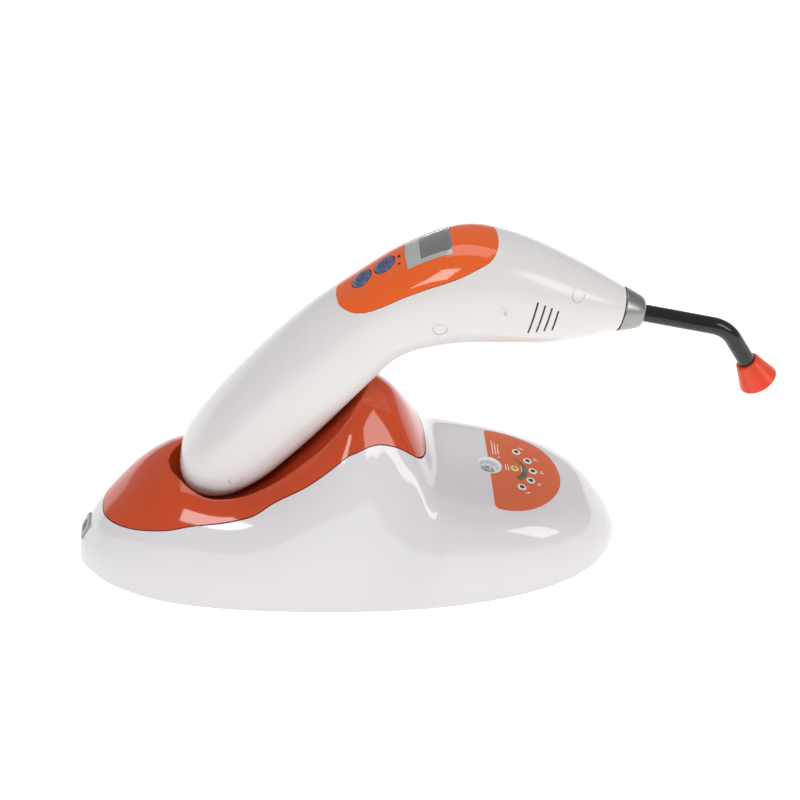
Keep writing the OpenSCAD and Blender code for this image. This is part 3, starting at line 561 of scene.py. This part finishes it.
def resample(P, n):
    d = np.r_[0, np.cumsum(np.linalg.norm(np.diff(P, axis=0), axis=1))]
    if d[-1] < 1e-9:
        return np.repeat(P[:1], n, 0)
    s = np.linspace(0, d[-1], n)
    return np.stack([np.interp(s, d, P[:, i]) for i in range(3)], -1)


def cradle():
    e = 4.0 * (np.linspace(0, 1, 26) ** 2)
    xs = np.unique(np.round(np.concatenate([k0 + e, k1 - e, np.arange(k0 + 4, k1 - 4, .9), PKC(np.linspace(0, 4, 41))[:, 0], PKC(np.linspace(12, 17, 41))[:, 0],
                                            np.array([-78.2, -77.8, -77.6, 11.6, 11.8, 12.2])]), 4))
    xs = xs[(xs >= k0) & (xs <= k1)]
    NA_, NF, NT = 44, 8, 40
    rows = []
    for x in xs:
        w, h, n = [float(v) for v in bsec(np.array(x))]
        tp = float(parting(np.array(x), .35))
        yr = 0.0
        if pkx[0] <= x <= pkx[-1]:
            yr = float(np.interp(x, pkx, pky))
            zf = float(np.interp(x, pkx, pkz))
        tr = 90.0
        if yr > 0.05:
            tr = math.degrees(math.acos(min(yr / w, 1) ** (n / 2)))
        tp = min(tp, tr)
        outer = bv(np.full(60, x), tp + (tr - tp) * np.linspace(0, 1, 60))
        if yr > 0.05:
            zr = 1 + (h - 1) * (1 - (yr / w) ** n) ** (1 / n)
            zf = min(zf, zr - .05)
            a = np.radians(np.linspace(180, 90, 70))
            tr_ = np.stack([np.full(70, x), yr * spw(np.cos(a), 1.8), zr - (zr - zf) * spw(np.sin(a), 1.8)], -1)
            P = np.concatenate([outer, tr_[1:]])
            r = min(1.1, yr * .25, (zr - zf) * .3)
            A, arc, B = polyfillet(P, 59, r, NF)
            A = np.concatenate([A, arc[:1]])
            B = np.concatenate([arc[-1:], B])
            rows.append(np.concatenate([resample(A, NA_), arc[1:-1], resample(B, NT)]))
        else:
            outer[-1, 1] = 0
            rows.append(np.concatenate([resample(outer, NA_), np.repeat(outer[-1:], NF - 2 + NT, 0)]))
    P = np.array(rows)
    P[:, -1, 1] = 0
    Q = P.copy()
    Q[..., 1] *= -1
    r, c = P.shape[:2]
    V = np.concatenate([P.reshape(-1, 3), Q.reshape(-1, 3)])
    F = quads(r, c) + quads(r, c, base=r * c)
    o = obj("cradle_skin", m(V), F, M["cradle_orange"], None)
    outward(o, [-40, 0, -120])
    thick(o, 1.8)
    return o


cr_o = cradle()
cut(cr_o, [cyl("p%d" % i, [-58, s * 6, 30], [0, 0, 1], 1.7, -10, 8, 32) for i, s in enumerate((-1, 1))])
finish_mesh(cr_o, 38)
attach(cr_o, "base")
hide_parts("cradle")


# ------------------------------------------------------------------ meter label and its lights
def on_base(P, off):
    P = np.asarray(P, float)
    x, y = P[..., 0], P[..., 1]
    e = .05
    z = bvz(x, y)
    nx, ny = -(bvz(x + e, y) - bvz(x - e, y)) / (2 * e), -(bvz(x, y + e) - bvz(x, y - e)) / (2 * e)
    n = np.stack([nx, ny, np.ones_like(nx)], -1)
    n /= np.linalg.norm(n, axis=-1, keepdims=True)
    return np.stack([x, y, z], -1) + n * np.asarray(off)[..., None]


def slab(name, X, Y_, lo, hi, mat=None, body=None):
    """Closed slab that follows the base between two offsets; X and Y_ are grids."""
    r, c = X.shape
    P = np.stack([X, Y_], -1)
    T, B = on_base(P, np.full(X.shape, hi)), on_base(P, np.full(X.shape, lo))
    V = np.concatenate([T.reshape(-1, 3), B.reshape(-1, 3)])
    F = quads(r, c)
    F += [tuple(r * c + i for i in reversed(f)) for f in quads(r, c)]
    edge = [i * c for i in range(r)] + [(r - 1) * c + j for j in range(1, c)] + [i * c + c - 1 for i in range(r - 2, -1, -1)] + [j for j in range(c - 2, 0, -1)]
    n, k = len(edge), r * c
    F += [(edge[i], edge[(i + 1) % n], k + edge[(i + 1) % n], k + edge[i]) for i in range(n)]
    return obj(name, m(V), F, mat, body)


gx, gy = np.meshgrid(np.linspace(62, 98, 90), np.linspace(-30, 30, 150), indexing="ij")
lab = slab("meter_label_film", gx, gy, -.25, .10, M["label_orange"])
D = []
for a in np.linspace(math.degrees(math.acos(-2 / 28)), 0, 60):
    D.append((68 + 28 * math.cos(rad(a)), 28 * math.sin(rad(a))))
D = [p for p in D if p[0] >= 66.6] + [(p[0], -p[1]) for p in reversed(D) if p[0] >= 66.6 and p[1] > 0]
cy0 = math.sqrt(28**2 - (66.6 - 68) ** 2)
corner = [(66.6 + 2.6 * math.cos(rad(a)), -(cy0 - 2.6) + 2.6 * math.sin(rad(a))) for a in np.linspace(-90, -180, 9)]
D += corner[1:] + [(x, -y) for x, y in reversed(corner)][:-1]
cut(lab, [prism("d", D, 20, 60, lambda P, h: np.column_stack([P, np.full(len(P), h)]))], "INTERSECT")
LED = [(68 + 15.6 * math.cos(rad(a)), 15.6 * math.sin(rad(a))) for a in (-53, -26.5, 0, 26.5, 53)]
cut(lab, [cyl("sw", SO, SN, 5.95, -6, 6)])
finish_mesh(lab, 40)
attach(lab, "base")
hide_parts("meter_label")


def base_frame(x, y):
    o = on_base(np.array([x, y]), np.array(0.0))
    return o, (on_base(np.array([x, y]), np.array(1.0)) - o)


def ring_and_dome(name, x, y, r0, r1, bez, dome, rep=()):
    o, z = base_frame(x, y)
    lathe_obj(name + "_bezel", [[r0, .04], [r0, .42], [r1, .22], [r1, .04]], o, z, M[bez], "base", n=48, closed=True, r=.08)
    d = [[r0 - .01, .0]] + [[(r0 - .01) * math.cos(rad(a)), .10 + .42 * math.sin(rad(a))] for a in np.linspace(0, 88, 9)]
    V, F = lathe([[0.001, 0]] + d + [[.001, .52]], o, z, 40)
    return obj(name + "_dome", m(V), F, M[dome], "base", rep[1:] if rep else (), sharp=50)


for i, (x, y) in enumerate(LED):
    ring_and_dome("meter_led_%d" % i, x, y, 1.15, 2.0, "bezel", "led_teal", ("led_teal", "meter_leds"))
ring_and_dome("status_led", 75.4, 0, .95, 1.9, "bezel_yellow", "led_yellow", ("led_yellow", "status_led"))


def strip(name, C, W, mat, lo=.08, hi=.16):
    """Flat printed mark: a centreline on the base's plan with a width at each point."""
    C, W = np.array(C, float), np.array(W, float)
    T = np.gradient(C, axis=0)
    T /= np.linalg.norm(T, axis=1, keepdims=True)
    N_ = np.stack([-T[:, 1], T[:, 0]], -1)
    g = np.stack([C - N_ * W[:, None] / 2, C, C + N_ * W[:, None] / 2], 1)
    return slab(name, g[..., 0], g[..., 1], lo, hi, M[mat], "base")


a = np.linspace(62, -52, 50)
# tapered crescent gauge
gr = 9.3
cc = np.array([(70.6 + gr * math.cos(rad(v)), gr * .98 * math.sin(rad(v))) for v in a])
strip("meter_gauge", cc, np.interp(np.linspace(0, 1, 50), [0, .15, .5, .8, 1], [.45, 1.0, 2.3, 2.6, 2.5]), "ink_green")
# short printed marks beside each light, and blank text stand-ins
for i, (x, y) in enumerate(LED):
    v = rad((-53, -26.5, 0, 26.5, 53)[i])
    d = np.array([math.cos(v), math.sin(v)])
    p = np.array([68, 0]) + d * 19.6
    for j, q in enumerate((-.55, .55)):
        b = p + q * np.array([-d[1], d[0]])
        strip("meter_mark_%d_%d" % (i, j), [b - [.9 - .25 * j, 0], b, b + [.9 - .25 * j, 0]], [.42] * 3, "ink_white")
for j in range(3):
    y0 = 6.6 + .0 * j
    strip("meter_note_%d" % j, [[66.5 + 1.25 * j, 8.2], [66.55 + 1.25 * j, 13], [66.6 + 1.25 * j, 18.5 - 1.2 * j]], [.42] * 3, "ink_white")
for j in range(2):
    strip("meter_unit_%d" % j, [[71.4 + 1.15 * j, -2.2], [71.4 + 1.15 * j, 0], [71.4 + 1.15 * j, 2.2]], [.4] * 3, "ink_white")
    strip("meter_unit_b%d" % j, [[78.5 + 1.1 * j, -2.8], [78.5 + 1.1 * j, 0], [78.5 + 1.1 * j, 2.6]], [.38] * 3, "ink_white")
strip("meter_note_dot", [[68.6, 6.0], [68.9, 6.5], [69.2, 7.0]], [.6] * 3, "ink_white")

# sensor well
lathe_obj("sensor_seat_ring", [[2.0, -6.5], [2.0, -5.4], [3.4, -5.4], [3.4, -3.0], [4.3, -3.0], [4.3, -.55, .5], [5.6, .28, .3], [5.65, -.6], [5.6, -6.5]],
          SO, SN, M["well_white"], "base", ("sensor_seat",), closed=True, r=.15)

# power inlet: square-cornered housing with a round socket and a raised rim
jb = box_round("dc_jack_body", JO, JU, Y, JN, 4.4, 4.9, -12, 1.0, .9)
cut(jb, [cyl("jc", JO, JN, 2.85, -8, 6, 48)])
jb.data.materials.append(M["jack_grey"])
bv_m = jb.modifiers.new("bev", "BEVEL")
bv_m.width, bv_m.segments, bv_m.limit_method, bv_m.angle_limit = .00018, 2, "ANGLE", rad(50)
apply_mods(jb)
finish_mesh(jb, 40)
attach(jb, "base")
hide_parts("dc_jack")

# rubber feet with a rounded rim
for i, (x, y) in enumerate([[-88, 15], [-88, -15], [86, 18], [86, -18], [-20, 36], [-20, -36]]):
    lathe_obj("foot_%d" % i, [[.01, 0], [3.2, 0], [3.4, .25], [3.7, .25], [3.9, 0], [5.0, 0, .2], [5.5, .55, .2], [5.5, 1.85], [.01, 1.85]], [x, y, 0], [0, 0, 1],
              M["rubber"], "base", ("base_feet",) if i == 0 else (), n=56, r=.1)

# ------------------------------------------------------------------ handpiece shells
S_P = np.concatenate([np.linspace(0, 6, 61), np.linspace(6, 10, 21)[1:], np.linspace(10, 16, 61)[1:]])
PT, PA = cr(PANEL, S_P).T
PT = np.maximum.accumulate(PT)
HE = len(HP) - 1


def shell(s):
    tt = np.concatenate([np.linspace(.0, 1, 26) ** 1.6, np.linspace(1, 10.8, 118)[1:], [10.9, 10.96, 10.985], PT[1:-1], [17.52, 17.55, 17.62, 17.75], np.linspace(17.9, HE, 60)])
    aa = np.concatenate([np.zeros(26 + 117 + 3), PA[1:-1] + .3, np.zeros(4 + 60)])
    u = np.linspace(0, 1, 110)
    u = u + .028 * np.sin(4 * math.pi * u) * -1 * .6
    th = aa[:, None] + (180 - aa[:, None]) * u[None]
    P = hp(tt[:, None], th)
    P[..., 1] = np.maximum(P[..., 1], .035) * s
    o = obj("handpiece_" + ("left" if s < 0 else "right"), m(P.reshape(-1, 3)), quads(*P.shape[:2]), M["shell_white"], None)
    outward(o, [10, s * 3, 115]) if False else None
    # the skin faces away from the handpiece's own middle line
    me = o.data
    bm = bmesh.new()
    bm.from_mesh(me)
    bm.normal_update()
    if sum(f.calc_area() * f.normal.y * s for f in bm.faces) < 0:
        bmesh.ops.reverse_faces(bm, faces=bm.faces)
    bm.to_mesh(me)
    bm.free()
    thick(o, 1.6)
    cs = []
    for i, (x0, z0, x1, z1) in enumerate(SLOTS):
        a, b = np.array([x0, z0]), np.array([x1, z1])
        d = (b - a) / np.linalg.norm(b - a)
        q = math.atan2(d[1], d[0])
        pts = [tuple(b + .45 * np.array([math.cos(q + rad(v)), math.sin(q + rad(v))])) for v in np.linspace(-90, 90, 9)]
        pts += [tuple(a + .45 * np.array([math.cos(q + rad(v)), math.sin(q + rad(v))])) for v in np.linspace(90, 270, 9)]
        cs.append(prism("s%d" % i, pts, 6 * s, 34 * s, lambda P, h: np.column_stack([P[:, 0], np.full(len(P), h), P[:, 1]])))
    if s < 0:
        for i, (x, z) in enumerate(CAPS):
            cs.append(cyl("k%d" % i, [x, -hp_y(x, z) + 1.0, z], [0, -1, 0], 2.98, 0, 14, 64))
    cs.append(cyl("h", [-58, s * 6, 30], [0, 0, 1], 2.65, 0, 12, 40))
    cut(o, cs)
    finish_mesh(o, 30)
    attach(o, "handpiece")
    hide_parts("shell_left" if s < 0 else "shell_right")
    return o


shell(-1)
shell(1)


def skin_slab(name, tt, TH, lo, hi, mat, body=None, rep=()):
    """Closed piece of the handpiece's skin: rows of stations with their own angles, between two offsets."""
    T, B = hp(tt[:, None], TH, hi), hp(tt[:, None], TH, lo)
    r, c = TH.shape
    V = np.concatenate([T.reshape(-1, 3), B.reshape(-1, 3)])
    F = quads(r, c)
    F += [tuple(r * c + i for i in reversed(f)) for f in quads(r, c)]
    edge = [i * c for i in range(r)] + [(r - 1) * c + j for j in range(1, c)] + [i * c + c - 1 for i in range(r - 2, -1, -1)] + [j for j in range(c - 2, 0, -1)]
    n, k = len(edge), r * c
    F += [(edge[i], edge[(i + 1) % n], k + edge[(i + 1) % n], k + edge[i]) for i in range(n)]
    return obj(name, m(V), F, mat, body, rep, sharp=35)


def crest(b):
    z = np.array([-math.sin(rad(b[2])), 0, math.cos(rad(b[2]))])
    return np.array([b[0], 0, b[1]]), z


u = np.linspace(-1, 1, 91)
pan = skin_slab("control_panel_skin", PT, (PA - .3).clip(.2)[:, None] * u[None], -1.6, 0, M["panel_orange"])


def rounded_rect_skin(t0, t1, a0, a1, rt, ra, n=7):
    """Outline in station and angle with rounded corners."""
    out = []
    for cx, cy, s in ((t1 - rt, a1 - ra, 0), (t0 + rt, a1 - ra, 90), (t0 + rt, a0 + ra, 180), (t1 - rt, a0 + ra, 270)):
        for i in range(n):
            v = rad(s + 90 * i / (n - 1))
            out.append((cx + rt * math.cos(v), cy + ra * math.sin(v)))
    return np.array(out)


def window_rows(t0, t1, a0, a1, rt, ra, n=25, k=41):
    """Rows of stations and angle limits for a rounded rectangle."""
    q = np.concatenate([t0 + rt * (1 - np.cos(np.linspace(0, math.pi / 2, 8))), np.linspace(t0 + rt, t1 - rt, n)[1:-1], t1 - rt * (1 - np.cos(np.linspace(math.pi / 2, 0, 8)))])
    lim = np.where(q < t0 + rt, (t0 + rt - q) / rt, np.where(q > t1 - rt, (q - t1 + rt) / rt, 0)).clip(0, 1)
    ins = ra * (1 - np.sqrt(1 - lim**2))
    u = np.linspace(0, 1, k)
    lo, hi = a0 + ins, a1 - ins
    return q, lo[:, None] + (hi - lo)[:, None] * u[None]


def cutter_skin(name, rows, lo, hi):
    return skin_slab(name, rows[0], rows[1], lo, hi, None)


W0 = (13.98, 15.92, -22.8, 22.8)
cutw = cutter_skin("wc", window_rows(*W0, .035, 1.0), -4, 3)
cs = [cutw]
for i, b in enumerate((B1, B2)):
    o_, z_ = crest(b)
    cs.append(cyl("bc%d" % i, o_, z_, BD / 2 + .28, -6, 6, 72))
cut(pan, cs)
finish_mesh(pan, 32)
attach(pan, "handpiece")
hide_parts("control_panel")

q, TH = window_rows(13.988, 15.912, -22.6, 22.6, .033, .9)
skin_slab("lcd_window_glass", q, TH, -.75, -.01, M["lcd_glass"], "handpiece", ("lcd_window",))
q, TH = window_rows(13.96, 15.94, -23.2, 23.2, .03, .8)
skin_slab("lcd_frame_plate", q, TH, -1.5, -.80, M["lcd_frame"], "handpiece", ("lcd_module",))
q, TH = window_rows(14.60, 15.905, -15.5, 21.6, .01, .3)
skin_slab("lcd_display", q, TH, -1.2, -.78, M["lcd_dark"], "handpiece")


def button(b, name, rep, icon):
    o_, z_ = crest(b)
    R = BD / 2 - .06
    prof = [[.01, -3.3], [R, -3.3], [R, -.15, .5], [R - .55, .42, .5]] + [[r, .50 + .42 * (1 - (r / (R - .9)) ** 2)] for r in np.linspace(R - .9, .01, 9)]
    lathe_obj(name + "_cap", prof, o_, z_, M["button_blue"], name, (rep,), n=72, r=.1, sharp=50)
    lathe_obj(name + "_stem", [[.01, -5.2], [1.6, -5.2], [1.6, -3.2], [.01, -3.2]], o_, z_, M["button_blue"], name, n=32, r=.05)
    u_ = np.array([math.cos(rad(b[2])), 0, math.sin(rad(b[2]))])
    def dome(P, off):
        r = np.linalg.norm(P, axis=-1)
        h = .50 + .42 * (1 - (r / (R - .9)) ** 2) + off
        return o_ + P[..., :1] * u_ + P[..., 1:] * np.array([0, 1.0, 0]) + h[..., None] * z_
    for k, (C, w) in enumerate(icon):
        C = np.array(C, float)
        T = np.gradient(C, axis=0)
        T /= np.linalg.norm(T, axis=1, keepdims=True)
        N_ = np.stack([-T[:, 1], T[:, 0]], -1) * w / 2
        g = np.stack([C - N_, C + N_], 1)
        top, bot = dome(g, np.full(g.shape[:2], .03)), dome(g, np.full(g.shape[:2], -.05))
        r = len(C)
        V = np.concatenate([top.reshape(-1, 3), bot.reshape(-1, 3)])
        F = quads(r, 2) + [tuple(2 * r + i for i in reversed(f)) for f in quads(r, 2)]
        ed = [2 * i for i in range(r)] + [2 * i + 1 for i in range(r - 1, -1, -1)]
        F += [(ed[i], ed[(i + 1) % len(ed)], 2 * r + ed[(i + 1) % len(ed)], 2 * r + ed[i]) for i in range(len(ed))]
        obj("%s_icon_%d" % (name, k), m(V), F, M["icon"], name)


arc = lambda cx, cy, r, a0, a1, n=26: [(cx + r * math.cos(rad(v)), cy + r * math.sin(rad(v))) for v in np.linspace(a0, a1, n)]
button(B1, "power_button", "power_button", [(arc(0, 0, 1.9, 35, 325), .5), ([(.2, 0), (1.3, 0), (2.5, 0)], .5)])
button(B2, "mode_button", "mode_button", [([(-1.9 + 1.6 * i, -1.9), (-1.9 + 1.6 * i, 0), (-1.9 + 1.6 * i, 1.9 - .5 * i)], .62) for i in range(3)])

# two small printed marks beside the upper button
for i, (t0, a0) in enumerate(((13.62, -9), (13.66, 0.5))):
    q = np.linspace(t0, t0 + .12, 5)
    TH = np.tile(np.linspace(a0 - 1.3, a0 + 1.3, 5), (5, 1))
    skin_slab("panel_mark_%d" % i, q, TH, -.03, .03, M["dark"], "handpiece")

# screw caps, each a slightly domed disc that follows the shell
for i, (x, z) in enumerate(CAPS):
    R, n = 2.86, 64
    rr = [0.001, .8, 1.6, 2.2, 2.6, 2.78, 2.86, 2.86]
    oo = [.06, .05, .04, .03, .0, -.08, -.22, -.95]
    V = []
    for r, off in zip(rr, oo):
        for a in np.linspace(0, 2 * math.pi, n, endpoint=False):
            px, pz = x + r * math.cos(a), z + r * math.sin(a)
            V.append([px, -(hp_y(px, pz) + off), pz])
    V.append([x, -hp_y(x, z) + .95, z])
    F = quads(len(rr), n, cv=True) + [((len(rr) - 1) * n + j, (len(rr) - 1) * n + (j + 1) % n, len(V) - 1) for j in range(n)]
    obj("screw_cap_%d" % i, m(np.array(V)), F, M["shell_white"], "handpiece", ("screw_caps",) if i == 0 else (), sharp=50)

# ------------------------------------------------------------------ nose, guide, shield
lathe_obj("nose_gasket_ring", [[7.4, .06], [9.25, .06], [9.25, .52], [7.4, .52]], NOSE, NA, M["gasket"], "handpiece", ("nose_gasket",), closed=True, r=.05)
lathe_obj("nose_collar_turned", [[4.75, .56], [9.55, .56, .12], [9.70, .85, .2], [9.66, 1.2, .2], [8.95, 3.6, 2], [7.95, 6.6, 3], [7.0, 8.9, 2], [6.4, 9.85, .5], [5.6, 10.45, .25],
                                 [4.75, 10.5, .1]], NOSE, NA, M["collar"], "handpiece", ("nose_collar",), closed=True, n=128, r=.2)


def guide():
    R = 7.5 / 2
    Rb = 16
    bend = TP - NP
    L1 = 49.1 - Rb * math.tan(bend / 2)
    P, D_ = [], []
    for s in np.linspace(1.25, L1, 26):
        P.append(NOSE + s * NA)
        D_.append(NA)
    b0 = NOSE + L1 * NA
    c = b0 - Rb * np.array([math.sin(NP), 0, math.cos(NP)])
    for i in range(1, 30):
        a = NP + bend * i / 30
        P.append(c + Rb * np.array([math.sin(a), 0, math.cos(a)]))
        D_.append(np.array([math.cos(a), 0, -math.sin(a)]))
    e0 = CORNER + Rb * math.tan(bend / 2) * TA
    e1 = CORNER + (20.5 + 5.5) * TA
    for s in np.linspace(0, 1, 18):
        P.append(e0 + (e1 - e0) * s)
        D_.append(TA)
    n = 72
    V = []
    rr = [R] * len(P)
    rr[-1] = R - .25
    P[-1] = P[-1] + 0 * TA
    P.insert(-1, P[-1] - .25 * TA)
    D_.insert(-1, TA)
    rr.insert(-1, R)
    for p, d, r in zip(P, D_, rr):
        w = np.array([-d[2], 0, d[0]])
        for a in np.linspace(0, 2 * math.pi, n, endpoint=False):
            V.append(p + r * (math.cos(a) * w + math.sin(a) * np.array([0, 1.0, 0])))
    k = len(P)
    F = quads(k, n, cv=True)
    V += [P[0], P[-1]]
    F += [(j, (j + 1) % n, k * n) for j in range(n)] + [((k - 1) * n + j, (k - 1) * n + (j + 1) % n, k * n + 1) for j in range(n)]
    obj("light_guide_rod", m(np.array(V)), F, M["guide_black"], "guide", ("light_guide",), sharp=40)


guide()
lathe_obj("eye_shield_cone", [[3.82, 0], [4.75, 0, .25], [5.2, .45, .3], [8.45, 11.15, .3], [8.6, 11.6, .2], [8.55, 12, .15], [7.55, 12, .15], [7.45, 11.5, .3], [4.6, 3.2, .5], [3.82, 3.0, .2]],
          TIP, TA, M["shield_red"], "shield", ("eye_shield",), closed=True, n=112, r=.2)

# ------------------------------------------------------------------ stage
bm = bmesh.new()
bmesh.ops.create_grid(bm, x_segments=1, y_segments=1, size=6)
fm = bpy.data.meshes.new("floor")
bm.to_mesh(fm)
bm.free()
floor = bpy.data.objects.new("floor", fm)
bpy.context.scene.collection.objects.link(floor)
floor.location = (0, 0, -.0002)
fmat = plastic("floor", (.93, .93, .93), rough=.9, var=.004, bump=0, big=3)
fp = fmat.node_tree.nodes["Principled BSDF"]
fp.inputs["Specular IOR Level"].default_value = .1
fp.inputs["Emission Color"].default_value = (1, 1, 1, 1)
fp.inputs["Emission Strength"].default_value = .58
fm.materials.append(fmat)

world = bpy.data.worlds.new("studio")
bpy.context.scene.world = world
world.use_nodes = True
bg = world.node_tree.nodes["Background"]
bg.inputs["Color"].default_value = (.93, .93, .96, 1)
bg.inputs["Strength"].default_value = .46


def area(name, loc, target, w, h, power, col=(1, 1, 1)):
    L = bpy.data.lights.new(name, "AREA")
    L.shape, L.size, L.size_y, L.energy, L.color = "RECTANGLE", w, h, power, col
    o = bpy.data.objects.new(name, L)
    bpy.context.scene.collection.objects.link(o)
    o.location = loc
    o.rotation_euler = (Vector(target) - Vector(loc)).to_track_quat("-Z", "Y").to_euler()
    return o


area("key", (-.55, -.9, 1.15), (0, 0, .06), .42, .60, 5.5)
area("right", (1.1, -.55, .75), (0, 0, .06), .40, .7, 3.6)
area("top", (.1, .35, 1.4), (0, 0, .06), 1.1, .7, 5.0)

cam = bpy.data.cameras.new("camera")
cam.lens, cam.sensor_width = 99, 36
co_ = bpy.data.objects.new("camera", cam)
bpy.context.scene.collection.objects.link(co_)
E, A = rad(37), rad(-3.7)
f_ = Vector((-math.sin(A) * math.cos(E), math.cos(A) * math.cos(E), -math.sin(E)))
r_ = Vector((math.cos(A), math.sin(A), 0))
u_ = r_.cross(f_)
loc = Vector(m([-24.93, -760.18, 652.82]))
co_.matrix_world = Matrix(((r_.x, u_.x, -f_.x, loc.x), (r_.y, u_.y, -f_.y, loc.y), (r_.z, u_.z, -f_.z, loc.z), (0, 0, 0, 1)))
bpy.context.scene.camera = co_
bpy.context.scene.view_settings.view_transform = "Standard"
